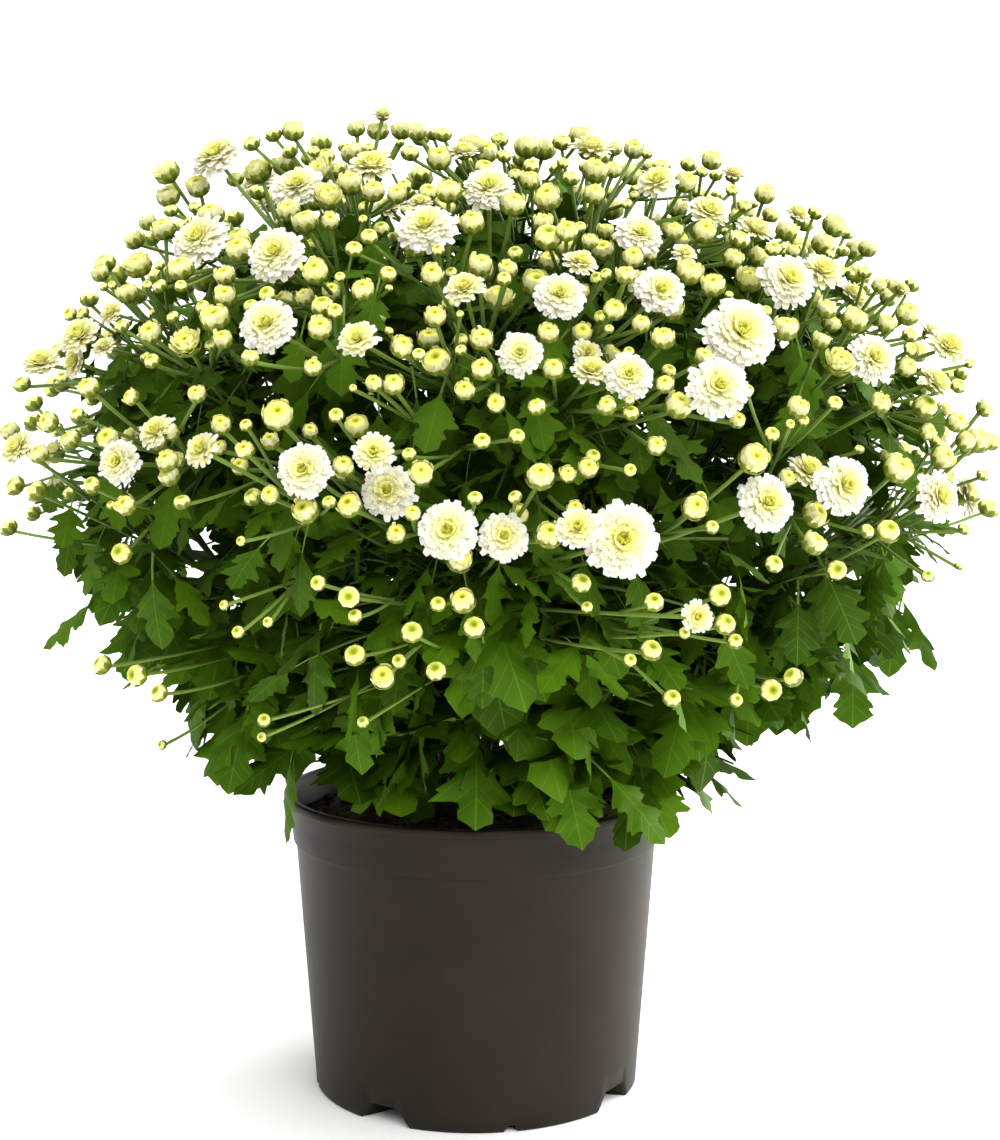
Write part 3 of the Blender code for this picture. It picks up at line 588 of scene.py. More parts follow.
# What only the fine model has, by kind: column, row and width where each is seen
furtherHeads = {"smallBloom": (
    (157, 432, 40), (657, 182, 40), (755, 230, 40), (853, 296, 40), (935, 382, 42), (808, 473, 45),
    (80, 336, 45), (580, 263, 36), (733, 175, 30), (797, 214, 28), (645, 283, 32), (112, 313, 28),
    (76, 362, 34), (104, 347, 26), (586, 354, 30), (931, 335, 34), (942, 409, 26), (684, 254, 26),
    (383, 115, 24), (420, 203, 26), (132, 436, 26), (901, 289, 24), (463, 152, 32), (387, 209, 36),
), "halfOpen": (
    (293, 130, 23), (321, 143, 22), (356, 128, 19), (378, 130, 22), (399, 127, 22), (417, 131, 20),
    (352, 152, 24), (439, 158, 26), (471, 144, 28), (486, 151, 25), (166, 171, 28), (167, 190, 24),
    (198, 186, 24), (257, 170, 30), (282, 164, 26), (320, 170, 28), (328, 195, 30), (350, 183, 27),
    (373, 191, 23), (397, 194, 20), (448, 191, 26), (444, 207, 22), (472, 222, 26), (415, 247, 25),
    (330, 221, 19), (305, 221, 28), (289, 210, 24), (211, 214, 27), (163, 229, 24), (148, 222, 19),
    (134, 239, 22), (239, 249, 28), (267, 278, 24), (181, 268, 28), (225, 275, 22), (100, 273, 19),
    (127, 293, 23), (332, 292, 20), (225, 296, 23), (284, 301, 24), (305, 297, 20), (363, 290, 24),
    (432, 274, 24), (480, 265, 25), (527, 146, 26), (543, 148, 26), (580, 136, 24), (595, 170, 26),
    (613, 170, 18), (614, 148, 17), (634, 149, 21), (631, 174, 24), (530, 180, 22), (513, 204, 26),
    (594, 194, 22), (543, 222, 21), (567, 231, 23), (565, 245, 22), (590, 241, 17), (603, 250, 24),
    (606, 230, 18), (633, 257, 23), (674, 231, 20), (681, 240, 17), (677, 207, 22), (704, 231, 25),
    (686, 182, 23), (712, 160, 22), (765, 194, 22), (771, 214, 18), (737, 217, 16), (787, 230, 24),
    (824, 243, 26), (868, 248, 20), (839, 270, 15), (879, 285, 16), (895, 288, 22), (749, 278, 30),
    (758, 257, 23), (793, 251, 15), (733, 258, 21), (733, 242, 19), (689, 272, 28), (713, 285, 26),
    (626, 275, 21), (550, 261, 22), (535, 282, 30), (508, 269, 20), (582, 291, 17), (150, 332, 24),
    (215, 318, 30), (223, 339, 21), (226, 299, 22), (320, 328, 25), (313, 367, 19), (197, 394, 19),
    (221, 425, 21), (310, 431, 17), (270, 441, 20), (245, 450, 20), (240, 466, 19), (219, 448, 16),
    (167, 461, 23), (169, 475, 23), (157, 440, 20), (172, 433, 17), (109, 438, 24), (70, 439, 19),
    (39, 454, 21), (48, 422, 22), (89, 387, 23), (131, 397, 18), (250, 357, 19), (10, 431, 20),
    (376, 316, 22), (435, 316, 23), (482, 272, 25), (499, 298, 32), (536, 283, 28), (614, 310, 23),
    (665, 310, 20), (641, 324, 20), (663, 338, 25), (548, 333, 22), (582, 333, 22), (402, 347, 24),
    (429, 339, 23), (482, 339, 25), (482, 369, 24), (553, 369, 23), (612, 355, 23), (374, 383, 18),
    (394, 384, 23), (465, 390, 21), (496, 403, 20), (537, 407, 19), (607, 406, 20), (357, 426, 25),
    (343, 466, 22), (656, 446, 20), (588, 468, 21), (568, 474, 18), (665, 384, 20), (810, 296, 26),
    (827, 309, 21), (855, 319, 28), (831, 323, 20), (889, 297, 19), (908, 314, 24), (887, 324, 20),
    (785, 328, 28), (704, 357, 20), (710, 338, 17), (671, 308, 26), (821, 340, 20), (868, 361, 22),
    (907, 367, 20), (985, 408, 19), (881, 403, 22), (798, 408, 24), (737, 420, 18), (928, 432, 18),
    (966, 441, 22), (957, 422, 22), (991, 441, 20), (943, 457, 26), (126, 505, 22), (270, 495, 20),
    (344, 471, 21), (396, 534, 20), (413, 513, 17), (516, 512, 21), (575, 509, 19), (460, 559, 28),
    (786, 478, 19), (841, 500, 24), (815, 514, 28), (754, 459, 32), (549, 535, 28), (305, 511, 28),
    (814, 543, 26), (695, 507, 28), (350, 505, 26),
), "bud": (
    (278, 130, 16), (248, 146, 17), (290, 153, 16), (326, 156, 17), (313, 151, 12), (433, 134, 14),
    (445, 134, 17), (400, 143, 9), (344, 147, 12), (369, 148, 12), (410, 153, 18), (496, 138, 10),
    (500, 139, 16), (562, 142, 18), (647, 154, 11), (662, 166, 18), (689, 164, 17), (235, 179, 17),
    (310, 158, 17), (343, 170, 11), (404, 186, 15), (428, 192, 18), (438, 250, 13), (369, 237, 18),
    (354, 249, 17), (381, 229, 17), (363, 219, 9), (195, 207, 13), (190, 221, 12), (171, 210, 14),
    (160, 265, 11), (160, 286, 15), (181, 286, 13), (104, 287, 9), (112, 285, 9), (89, 299, 18),
    (83, 313, 13), (70, 314, 14), (147, 285, 10), (340, 277, 11), (267, 294, 16), (388, 274, 17),
    (389, 288, 8), (451, 273, 12), (484, 171, 9), (531, 166, 16), (515, 175, 14), (563, 163, 12),
    (571, 178, 17), (504, 156, 15), (580, 227, 12), (617, 238, 13), (650, 254, 14), (702, 172, 12),
    (716, 175, 13), (732, 190, 12), (717, 195, 11), (745, 206, 13), (754, 204, 9), (815, 213, 15),
    (847, 233, 14), (843, 251, 13), (830, 254, 10), (865, 272, 14), (808, 274, 16), (773, 249, 16),
    (596, 278, 13), (606, 274, 12), (515, 254, 16), (504, 278, 15), (627, 204, 11), (634, 195, 10),
    (122, 326, 15), (173, 317, 13), (22, 384, 17), (77, 414, 14), (152, 361, 16), (145, 357, 11),
    (210, 345, 11), (203, 307, 15), (251, 306, 15), (335, 311, 16), (246, 425, 13), (336, 415, 15),
    (448, 303, 13), (460, 314, 8), (601, 317, 14), (609, 329, 10), (629, 352, 11), (418, 354, 13),
    (461, 340, 15), (461, 350, 12), (389, 331, 9), (353, 388, 8), (630, 401, 10), (631, 413, 16),
    (409, 454, 14), (482, 441, 17), (517, 436, 16), (593, 456, 15), (630, 470, 13), (766, 311, 12),
    (729, 295, 9), (910, 349, 13), (910, 335, 16), (961, 374, 14), (969, 363, 12), (958, 386, 16),
    (835, 403, 15), (803, 421, 12), (790, 424, 10), (772, 434, 15), (669, 371, 15), (748, 390, 12),
    (859, 449, 10), (92, 485, 18), (111, 505, 9), (182, 502, 17), (329, 502, 14), (241, 541, 10),
    (224, 605, 10), (238, 632, 13), (268, 622, 11), (355, 616, 15), (475, 498, 15), (515, 497, 14),
    (701, 497, 13), (712, 527, 14), (887, 456, 14), (949, 476, 14), (867, 531, 15), (964, 529, 13),
    (928, 576, 13), (959, 566, 9), (974, 496, 13), (983, 475, 13), (684, 633, 12), (318, 583, 16),
    (412, 632, 22), (581, 583, 20), (654, 602, 20), (720, 595, 22), (774, 564, 18), (672, 698, 18),
    (888, 531, 24), (438, 604, 16), (474, 627, 22), (587, 607, 12), (736, 700, 14), (793, 677, 20),
    (735, 641, 16), (399, 661, 15), (262, 737, 10), (162, 745, 10), (630, 660, 14), (70, 440, 22),
)}

# The finer plant's seed, how often each of its spread heads is tried, by how much the distance
# between them shrinks meanwhile, and how many leaves it has on main stems and stalks
fullPlant = {"seed": 77, "tries": 30, "thinning": 0.5, "crownLeaves": 700}

# What is spread past the heads that are seen, in the columns of spreadHeads. The last row is of
# small buds between and below the heads, all round
furtherSpread = (
    ("smallBloom", 10, (0.010, 0.012), 0.03, 0.050, 0.5, (0.95, 1.035)),
    ("halfOpen", 90, (0.0060, 0.0086), 0.04, 0.030, 1.2, (0.92, 1.035)),
    ("bud", 150, (0.0040, 0.0062), 0.03, 0.021, 0.95, (0.90, 1.035)),
    ("bud", 60, (0.0028, 0.0042), everywhere, 0.018, 1.2, (0.80, 0.94)),
)


# How far heads turn to the front and up from the plan's way, how far each strays from that, and
# how deep in the head its stalk ends
headPoise = {
    "bloom": (0.20, 0.08, 0.06, 0.30),
    "smallBloom": (0.0, 0.45, 0.20, 0.07),
    "halfOpen": (0.0, 0.70, 0.24, 0.50),
    "bud": (0.0, 0.65, 0.28, 0.45),
}


def poiseHeads(stems):
    # Heads turn up towards the light, each a little its own way, and their stalks' ends follow.
    draw = random.Random(fullPlant["seed"] + 4)
    for stem in stems:
        for head in stem["heads"]:
            front, lift, stray, depth = headPoise[head["kind"]]
            turn = Vector((draw.gauss(0.0, stray), draw.gauss(-front, stray), draw.gauss(lift, stray)))
            head["axis"] = unit(head["axis"] + turn)
            head["end"] = head["point"] - head["axis"] * depth * head["radius"]


# A side head's stalk: where it meets the head in shares of its radius, how far and along what a
# root may be from it, the lengths and turns that it may have, and how much room it keeps
sideStalk = {
    "depth": 0.80,
    "widest": 1.1,
    "stemShares": (1.0, 0.92, 0.84, 0.76, 0.68, 0.60),
    "headReach": 0.08,
    "headShares": (0.3, 0.5, 0.68),
    "shootReach": 0.075,
    "shootShares": (0.55, 0.75, 0.95),
    "shootsBelow": 0.03,
    "shortest": 0.016,
    "usual": 0.040,
    "slack": 0.05,
    "turnCost": 1.5,
    "sharpest": 1.2,
    "tries": 6,
    "nearRoot": 0.004,
    "gap": 0.0003,
}

# How far leaves stay from the rim: inward and outward of it, above and below it, above the soil
rimBand = {"inward": 0.010, "outward": 0.003, "above": 0.003, "below": 0.016, "aboveSoil": 0.007}


def shootRoots(shoots, base):
    # Places on nearby leafy shoots that a head's stalk can leave from.
    near = [shoot for shoot in shoots if (shoot["route"][-1] - base).length <= sideStalk["shootReach"]]
    return [
        (shoot["stem"], *alongPath(shoot["route"], share))
        for shoot in near for share in sideStalk["shootShares"]
    ]


def isClearOfRim(spheres):
    # Leaves stay off the wall and its lip, and above the soil.
    spread = np.hypot(spheres[:, 0], spheres[:, 1])
    height = spheres[:, 2]
    isInside = spread <= rimRadius - rimBand["inward"]
    isLow = height < potHeight + rimBand["above"]
    onWall = ~isInside & isLow & (spread < rimRadius + rimBand["outward"])
    inSoil = isInside & (height < soilLevel + rimBand["aboveSoil"])
    return not (onWall.any() or inSoil.any() or height.min() < potHeight - rimBand["below"])


def placeSideHead(stems, shoots, room, kind, point, radius):
    # A head whose stalk may also branch off another stalk or a leafy shoot, kept clear of the
    # other heads alone. The cheapest roots give a stalk of the usual length that turns little.
    head, body = makeHead(kind, point, radius)
    if not room.isFree(body, headClearance):
        return False
    axis = head["axis"]
    base = point - axis * sideStalk["depth"] * radius
    roots = []
    for index, stem in enumerate(stems):
        if stem["direction"].angle(base - crownCentre + crownDrop) > sideStalk["widest"]:
            continue
        roots += [(index, *alongPath(stem["points"], share)) for share in sideStalk["stemShares"]]
        for other in stem["heads"]:
            if (other["end"] - base).length < sideStalk["headReach"]:
                ends = (other["root"], other["end"])
                roots += [(index, *alongPath(ends, share)) for share in sideStalk["headShares"]]
    if point.z < crownCentre.z + sideStalk["shootsBelow"]:
        roots += shootRoots(shoots, base)
    choices = []
    for index, root, heading in roots:
        run = base - root
        turn = heading.angle(run)
        if run.length > longestStalk or run.length < sideStalk["shortest"] or turn > sideStalk["sharpest"]:
            continue
        cost = abs(run.length - sideStalk["usual"]) / sideStalk["slack"]
        cost += sideStalk["turnCost"] * turn + tiltCost * axis.angle(run)
        choices.append((cost, index, root))
    choices.sort(key=lambda choice: choice[0])
    for cost, index, root in choices[:sideStalk["tries"]]:
        end = base + axis * stalkSink * radius
        stalk = lineSpheres([root, end], stalkRadius)
        fromRoot = np.linalg.norm(stalk[:, :3] - np.array(root), axis=1)
        if not room.isFree(stalk[fromRoot > sideStalk["nearRoot"]], sideStalk["gap"]):
            continue
        head.update(root=root, end=end, stem=index)
        room.add(body, index)
        stems[index]["heads"].append(head)
        return True
    return False


def growHeads(stems, shoots):
    # The plant's other heads: the ones that are seen, then more spread over its back.
    draw = random.Random(fullPlant["seed"])
    room = Room()
    for index, stem in enumerate(stems):
        room.add(lineSpheres(stem["points"], stemRadius), index)
        for head in stem["heads"]:
            room.add(headSpheres(head), index)

    def place(kind, point, radius):
        return placeSideHead(stems, shoots, room, kind, point, radius)

    for kind, spots in furtherHeads.items():
        made = placeSeen(kind, spots, furtherTries, draw, place)
        print("further heads of kind", kind, "where they are seen:", made, "of", len(spots))
    for spread in furtherSpread:
        others = np.array([head["point"] for stem in stems for head in stem["heads"]])
        made = placeSpread(spread, fullPlant["tries"], fullPlant["thinning"], others, draw, place)
        print("heads of kind", spread[0], "spread over the crown:", made)
    return room


# The skirt of leaves under the crown: how far out from the axis its leaves reach, by height
skirtHeights = (0.170, 0.200, 0.225, 0.250, 0.280, 0.310, 0.340)
skirtReach = (0.114, 0.146, 0.184, 0.208, 0.240, 0.256, 0.260)

# Leafy shoots by layer: whether in the skirt or in the crown, how many, how high their tips are (as
# heights in the skirt, as shares of the crown's own height in the crown), the share of the skirt's
# or the crown's reach that they grow to, how many leaves each has, the leaves' length as a share of
# bladeLength and how much they hang
layerNames = ("isSkirt", "count", "rises", "shares", "leaves", "sizes", "hang")
layerRows = (
    (True, 22, (0.172, 0.192), (0.92, 1.06), 6, (0.95, 1.22), 0.55),
    (True, 36, (0.178, 0.215), (0.70, 0.88), 7, (0.92, 1.22), 0.40),
    (True, 42, (0.205, 0.260), (0.70, 0.88), 7, (0.85, 1.15), 0.32),
    (True, 46, (0.250, 0.325), (0.66, 0.88), 7, (0.60, 0.90), 0.30),
    (True, 26, (0.285, 0.345), (0.45, 0.80), 6, (0.55, 0.80), 0.20),
    (True, 44, (0.185, 0.300), (0.35, 0.66), 6, (0.60, 0.86), 0.30),
    (True, 64, (0.185, 0.335), (0.10, 0.52), 6, (0.90, 1.25), 0.10),
    (False, 90, (-0.10, 0.75), (0.70, 0.84), 7, (0.43, 0.67), 0.10),
    (False, 80, (0.50, 1.0), (0.70, 0.86), 7, (0.45, 0.70), 0.10),
    (False, 40, (0.0, 1.0), (0.35, 0.62), 6, (0.52, 0.78), 0.10),
)
shootLayers = [dict(zip(layerNames, row)) for row in layerRows]

# Shoots that are seen to hang out of the skirt: column and row of the tip, and its y
seenShoots = (
    (186, 712, -0.02), (170, 668, -0.01), (240, 690, -0.04), (296, 735, -0.07), (112, 588, 0.00),
    (205, 628, -0.03), (870, 634, 0.00), (905, 590, 0.01), (704, 742, -0.05), (806, 642, -0.02),
    (664, 762, -0.09), (734, 764, -0.04), (590, 758, -0.11),
)
seenLayer = {"leaves": 7, "sizes": (0.80, 1.05), "hang": 0.75, "past": 1.35}

# Where shoots leave a main stem, how long they like to be and how they are bent, then how leaves sit
# on them: where the first is, how far each strays, leans out and along, and droops
shootRule = {
    "shares": (0.16, 0.22, 0.28, 0.34, 0.40, 0.48, 0.56, 0.66, 0.76, 0.88),
    "length": 0.075,
    "slack": 0.05,
    "shortest": 0.03,
    "abovePot": 0.004,
    "turnCost": 1.2,
    "luck": (0.0, 0.3),
    "steps": 7,
    "bend": 0.42,
    "rise": 0.10,
    "turnStray": 0.12,
}
shootLeaf = {
    "first": 0.30,
    "stray": (-0.2, 0.2),
    "outward": (0.55, 0.9),
    "along": (0.5, 0.9),
    "steepest": 0.05,
    "droop": (0.0, 0.6),
    "taper": 0.25,
}
golden = math.pi * (3.0 - math.sqrt(5.0))

# Up to where the skirt limits leaves, how far past it they may reach and, above it, how far out in
# the crown
skirtTop = 0.31
skirtPast = 1.06
shootCrown = 0.95


def branchFor(stems, tip, draw):
    # The place on a main stem that a shoot to this tip leaves from: near, and turning little.
    best = None
    for index, stem in enumerate(stems):
        for share in shootRule["shares"]:
            root, heading = alongPath(stem["points"], share)
            run = tip - root
            if root.z < potHeight + shootRule["abovePot"] or run.length < shootRule["shortest"]:
                continue
            cost = abs(run.length - shootRule["length"]) / shootRule["slack"]
            cost += shootRule["turnCost"] * heading.angle(run) + draw.uniform(*shootRule["luck"])
            if best is None or cost < best[0]:
                best = (cost, index, root, heading, run)
    return best[1:]


def seenAt(column, row, y):
    # The point of the line of sight through a column and row that has this y.
    ray = sightRay(column, row)
    return viewPoint + ray * ((y - viewPoint.y) / ray.y)


def shootTo(stems, tip, layer, draw):
    # A shoot that leaves a main stem and curves out to its tip.
    index, root, heading, run = branchFor(stems, tip, draw)
    rise = Vector((0.0, 0.0, shootRule["rise"] * run.length))
    bend = root + heading * shootRule["bend"] * run.length + rise
    route = []
    for step in range(shootRule["steps"] + 1):
        t = step / shootRule["steps"]
        route.append(root * (1.0 - t) ** 2 + bend * 2.0 * t * (1.0 - t) + tip * t * t)
    return {"route": route, "stem": index, "layer": layer}


def planShoots(stems):
    # Shoots that are seen to hang, and more all round the skirt and inside the crown, spread by
    # the golden angle.
    draw = random.Random(fullPlant["seed"] + 2)
    shoots = [shootTo(stems, seenAt(*spot), seenLayer, draw) for spot in seenShoots]
    for layer in shootLayers:
        for i in range(layer["count"]):
            turn = i * golden + draw.gauss(0.0, shootRule["turnStray"])
            share = draw.uniform(*layer["shares"])
            rise = draw.uniform(*layer["rises"])
            if layer["isSkirt"]:
                reach = np.interp(rise, skirtHeights, skirtReach) * share
                tip = Vector((crownCentre.x + reach * math.cos(turn), reach * math.sin(turn), rise))
            else:
                level = math.sqrt(1.0 - rise * rise)
                tip = crownPoint(Vector((level * math.cos(turn), level * math.sin(turn), rise)), share)
            shoots.append(shootTo(stems, tip, layer, draw))
    return shoots


def leafHasRoom(room, leaf):
    # A leaf stays clear of the pot's rim and of the heads and main stems.
    spheres = leafSpheres(leaf)
    return isClearOfRim(spheres) and room.isFree(spheres[::2], 0.0)


def isWithin(point, past):
    # Inside the skirt below its upper edge, and inside the crown above it.
    if point.z < skirtTop:
        limit = np.interp(point.z, skirtHeights, skirtReach) * past
        return math.hypot(point.x - crownCentre.x, point.y) <= limit
    return crownShare(point) <= shootCrown


def leafOutShoot(stems, room, shoot, draw):
    # Leaves that turn round the shoot by the golden angle, shorter towards its end.
    layer = shoot["layer"]
    start = draw.uniform(0.0, 2.0 * math.pi)
    carried = 0
    for k in range(layer["leaves"]):
        step = (1.0 - shootLeaf["first"]) * (k + draw.uniform(*shootLeaf["stray"])) / (layer["leaves"] - 1)
        share = shootLeaf["first"] + step
        foot, along = alongPath(shoot["route"], min(share, 0.995))
        outward = Matrix.Rotation(start + k * golden, 3, along) @ across(along)
        hang = Vector((0.0, 0.0, layer["hang"]))
        lean = outward * draw.uniform(*shootLeaf["outward"]) + along * draw.uniform(*shootLeaf["along"])
        lean = unit(lean - hang)
        level = Vector((lean.x, lean.y, 0.0))
        if level.length < shootLeaf["steepest"]:
            continue
        droop = math.asin(max(-1.0, min(1.0, -lean.z))) + draw.uniform(*shootLeaf["droop"])
        length = bladeLength * draw.uniform(*layer["sizes"]) * (1.0 - shootLeaf["taper"] * share)
        leaf = makeLeaf(foot, level, droop, length, draw)
        tip = leafPoint(leaf, leaf["reach"], 0.0)
        if leafHasRoom(room, leaf) and isWithin(tip, layer.get("past", skirtPast)):
            stems[shoot["stem"]]["leaves"].append(leaf)
            carried += 1
    return carried


def growShoots(stems, room, shoots):
    # Leaves on every shoot, and the shoots that carry any.
    draw = random.Random(fullPlant["seed"] + 3)
    carried = [leafOutShoot(stems, room, shoot, draw) for shoot in shoots]
    print("leafy shoots:", len(shoots), "with leaves:", sum(carried))
    return [shoot["route"] for shoot, leaves in zip(shoots, carried) if leaves]


# Leaves inside the crown: the parts of main stems and of stalks that carry them, the stems' weight
# against the stalks', then the leaves' stray, sizes, how much smaller they are further out, droop,
# how far out they may reach and how many tries each has
innerLeaf = {
    "onStem": (0.24, 1.0),
    "onStalk": (0.04, 0.66),
    "stemWeight": 2.0,
    "stray": 1.0,
    "sizes": (0.43, 0.69),
    "inner": 1.25,
    "smaller": 0.5,
    "droop": (0.0, 1.3),
    "reach": 0.93,
    "tries": 12,
}


def growLeaves(stems, room):
    # The dark leaves inside the crown, on the main stems and low on the stalks.
    draw = random.Random(fullPlant["seed"] + 1)
    carriers = []
    weights = []
    for index, stem in enumerate(stems):
        carriers.append((index, stem["points"], innerLeaf["onStem"]))
        length = sum((b - a).length for a, b in zip(stem["points"], stem["points"][1:]))
        weights.append(length * innerLeaf["stemWeight"])
        for head in stem["heads"]:
            carriers.append((index, (head["root"], head["end"]), innerLeaf["onStalk"]))
            weights.append((head["end"] - head["root"]).length)
    made = 0
    for attempt in range(fullPlant["crownLeaves"] * innerLeaf["tries"]):
        if made == fullPlant["crownLeaves"]:
            break
        index, points, part = draw.choices(carriers, weights)[0]
        root, heading = alongPath(points, draw.uniform(*part))
        turn = math.atan2(root.y, root.x - crownCentre.x) + draw.gauss(0.0, innerLeaf["stray"])
        smaller = innerLeaf["inner"] - innerLeaf["smaller"] * min(crownShare(root), 1.0)
        length = bladeLength * draw.uniform(*innerLeaf["sizes"]) * smaller
        level = Vector((math.cos(turn), math.sin(turn), 0.0))
        leaf = makeLeaf(root, level, draw.uniform(*innerLeaf["droop"]), length, draw)
        tip = leafPoint(leaf, leaf["reach"], 0.0)
        if crownShare(tip) <= innerLeaf["reach"] and leafHasRoom(room, leaf):
            stems[index]["leaves"].append(leaf)
            made += 1
    print("leaves inside the crown:", made)


def marks(points, *numbers):
    # What the material reads at each point: up to three numbers.
    place = np.zeros(points.shape)
    for i, values in enumerate(numbers):
        place[..., i] = values
    return place


def turns(count):
    # Even steps round a circle.
    return np.arange(count) * 2.0 * math.pi / count


def ringed(radius, turn, height):
    # x = r cos turn, y = r sin turn, z = height.
    return np.stack(np.broadcast_arrays(radius * np.cos(turn), radius * np.sin(turn), height), axis=-1)


def newBed():
    # An empty mesh in the making: lists of arrays, and how many points there are.
    return {"points": [], "faces": [], "place": [], "shade": [], "count": 0}


def addGrids(bed, points, place, shade, wrap=True):
    # Points and place are (copies, rows, columns, 3) and shade (copies,): each copy's neighbouring
    # rows and columns are joined by quads.
    copies, rows, columns = points.shape[:3]
    index = np.arange(rows * columns).reshape(rows, columns)
    if wrap:
        index = np.concatenate((index, index[:, :1]), axis=1)
    corners = (index[:-1, :-1], index[:-1, 1:], index[1:, 1:], index[1:, :-1])
    quads = np.stack(corners, axis=-1).reshape(-1, 4)
    start = bed["count"] + np.arange(copies)[:, None, None] * rows * columns
    bed["faces"].append((quads[None] + start).reshape(-1, 4))
    bed["points"].append(points.reshape(-1, 3))
    bed["place"].append(np.broadcast_to(place, points.shape).reshape(-1, 3))
    bed["shade"].append(np.repeat(np.asarray(shade, float), rows * columns))
    bed["count"] += copies * rows * columns


def setAttribute(mesh, name, kind, key, values):
    # One number or three at each point, by the attribute's name.
    made = mesh.attributes.new(name, kind, "POINT")
    made.data.foreach_set(key, np.concatenate(values).astype(np.float32).ravel())


def makePiece(name, bed, material, nodes):
    # One mesh from a bed of grids, with its place and shade kept as attributes.
    points = np.concatenate(bed["points"])
    faces = np.concatenate(bed["faces"])
    mesh = bpy.data.meshes.new(name)
    mesh.vertices.add(len(points))
    mesh.vertices.foreach_set("co", points.astype(np.float32).ravel())
    mesh.loops.add(faces.size)
    mesh.loops.foreach_set("vertex_index", faces.astype(np.int32).ravel())
    mesh.polygons.add(len(faces))
    mesh.polygons.foreach_set("loop_start", np.arange(0, faces.size, 4, dtype=np.int32))
    mesh.polygons.foreach_set("use_smooth", np.ones(len(faces), dtype=bool))
    mesh.update(calc_edges=True)
    setAttribute(mesh, "place", "FLOAT_VECTOR", "vector", bed["place"])
    setAttribute(mesh, "shade", "FLOAT", "value", bed["shade"])
    mesh.materials.append(material)
    piece = addObject(name, mesh)
    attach(piece, "root")
    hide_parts(*nodes)
    print("piece", name, "has", len(faces) * 2, "triangles")


def headFrames(heads, seed):
    # Each head's three axes as the columns of a matrix, the third along its stalk, turned at
    # random round it, then its centre and its size.
    draw = random.Random(seed)
    frames = np.array([head["axis"].to_track_quat("Z", "Y").to_matrix() for head in heads])
    rolls = np.array([draw.uniform(0.0, 2.0 * math.pi) for head in heads])
    turn = np.zeros((len(heads), 3, 3))
    turn[:, 0, 0] = np.cos(rolls)
    turn[:, 0, 1] = -np.sin(rolls)
    turn[:, 1, 0] = np.sin(rolls)
    turn[:, 1, 1] = np.cos(rolls)
    turn[:, 2, 2] = 1.0
    centres = np.array([head["point"] for head in heads])
    return frames @ turn, centres, np.array([head["radius"] for head in heads])


def placed(points, frames, centres, sizes):
    # Shapes of unit size, scaled, turned and moved to their heads: (heads, ..., 3).
    spread = points * sizes.reshape((-1,) + (1,) * (points.ndim - 1))
    turnedPoints = np.einsum("hij,h...j->h...i", frames, spread)
    return turnedPoints + centres.reshape((-1,) + (1,) * (points.ndim - 2) + (3,))


# Stations along a petal, half its width there as a share of its full half width, and its columns
petalRows = np.array((0.0, 0.30, 0.60, 0.84, 1.0))
petalWidths = np.array((0.42, 0.82, 1.0, 0.96, 0.64))
petalColumns = np.array((-1.0, 0.0, 1.0))

# How far petals stray from their tier's length, slopes and width, and how much they twist
petalStray = {"length": 0.06, "rise": 0.10, "fall": 0.16, "width": 0.08, "twist": 0.10}


def petalTier(bed, frames, centres, sizes, tier, rng):
    # A ring of petals for many heads at once. Along a petal its slope turns evenly from rise to
    # fall, so its reach and height are the running sums of the slope's cosine and sine. Across
    # it the petal is as wide as petalWidths says and its edges lift by the cup.
    shape = (len(sizes), tier["count"], 1, 1)

    def strayed(amount):
        return rng.normal(0.0, amount, shape)

    def summed(part, start, long):
        return start + long * np.concatenate((np.zeros(shape), np.cumsum(part * step, axis=2)), axis=2)

    around = (np.arange(tier["count"]) + tier["turn"]) * 2.0 * math.pi / tier["count"]
    around = around.reshape(1, -1, 1, 1) + strayed(tier["stray"])
    long = tier["length"] * (1.0 + strayed(petalStray["length"]))
    middle = (0.5 * (petalRows[1:] + petalRows[:-1])).reshape(1, 1, -1, 1)
    step = np.diff(petalRows).reshape(1, 1, -1, 1)
    rise = np.radians(tier["rise"]) + strayed(petalStray["rise"])
    fall = np.radians(tier["fall"]) + strayed(petalStray["fall"])
    slope = rise + (fall - rise) * middle
    reach = summed(np.cos(slope), tier["from"], long)
    height = summed(np.sin(slope), tier["height"], long)
    wide = tier["width"] * petalWidths.reshape(1, 1, -1, 1) * petalColumns.reshape(1, 1, 1, -1)
    wide = wide * (1.0 + strayed(petalStray["width"]))
    lift = tier["cup"] * np.abs(wide) + 0.0 * reach
    twist = strayed(petalStray["twist"]) * wide
    x = reach * np.cos(around) - wide * np.sin(around)
    y = reach * np.sin(around) + wide * np.cos(around)
    points = np.stack((x, y, height + lift + twist + 0.0 * x), axis=-1)
    shade = rng.uniform(0.0, 1.0, shape[0] * shape[1])
    across = petalColumns.reshape(1, 1, 1, -1)
    place = marks(points, petalRows.reshape(1, 1, -1, 1), across, np.hypot(x, y) + tier["deep"])
    world = placed(points, frames, centres, sizes)
    petals = (-1,) + world.shape[2:]
    addGrids(bed, world.reshape(petals), place.reshape(petals), shade, wrap=False)


# Tiers of petals from the outside in, in shares of the head's radius: how many, how far round the
# first is turned, where they start, their length, their slopes at the root and at the tip in
# degrees, and the height of their roots
tierNames = ("count", "turn", "from", "length", "rise", "fall", "height")

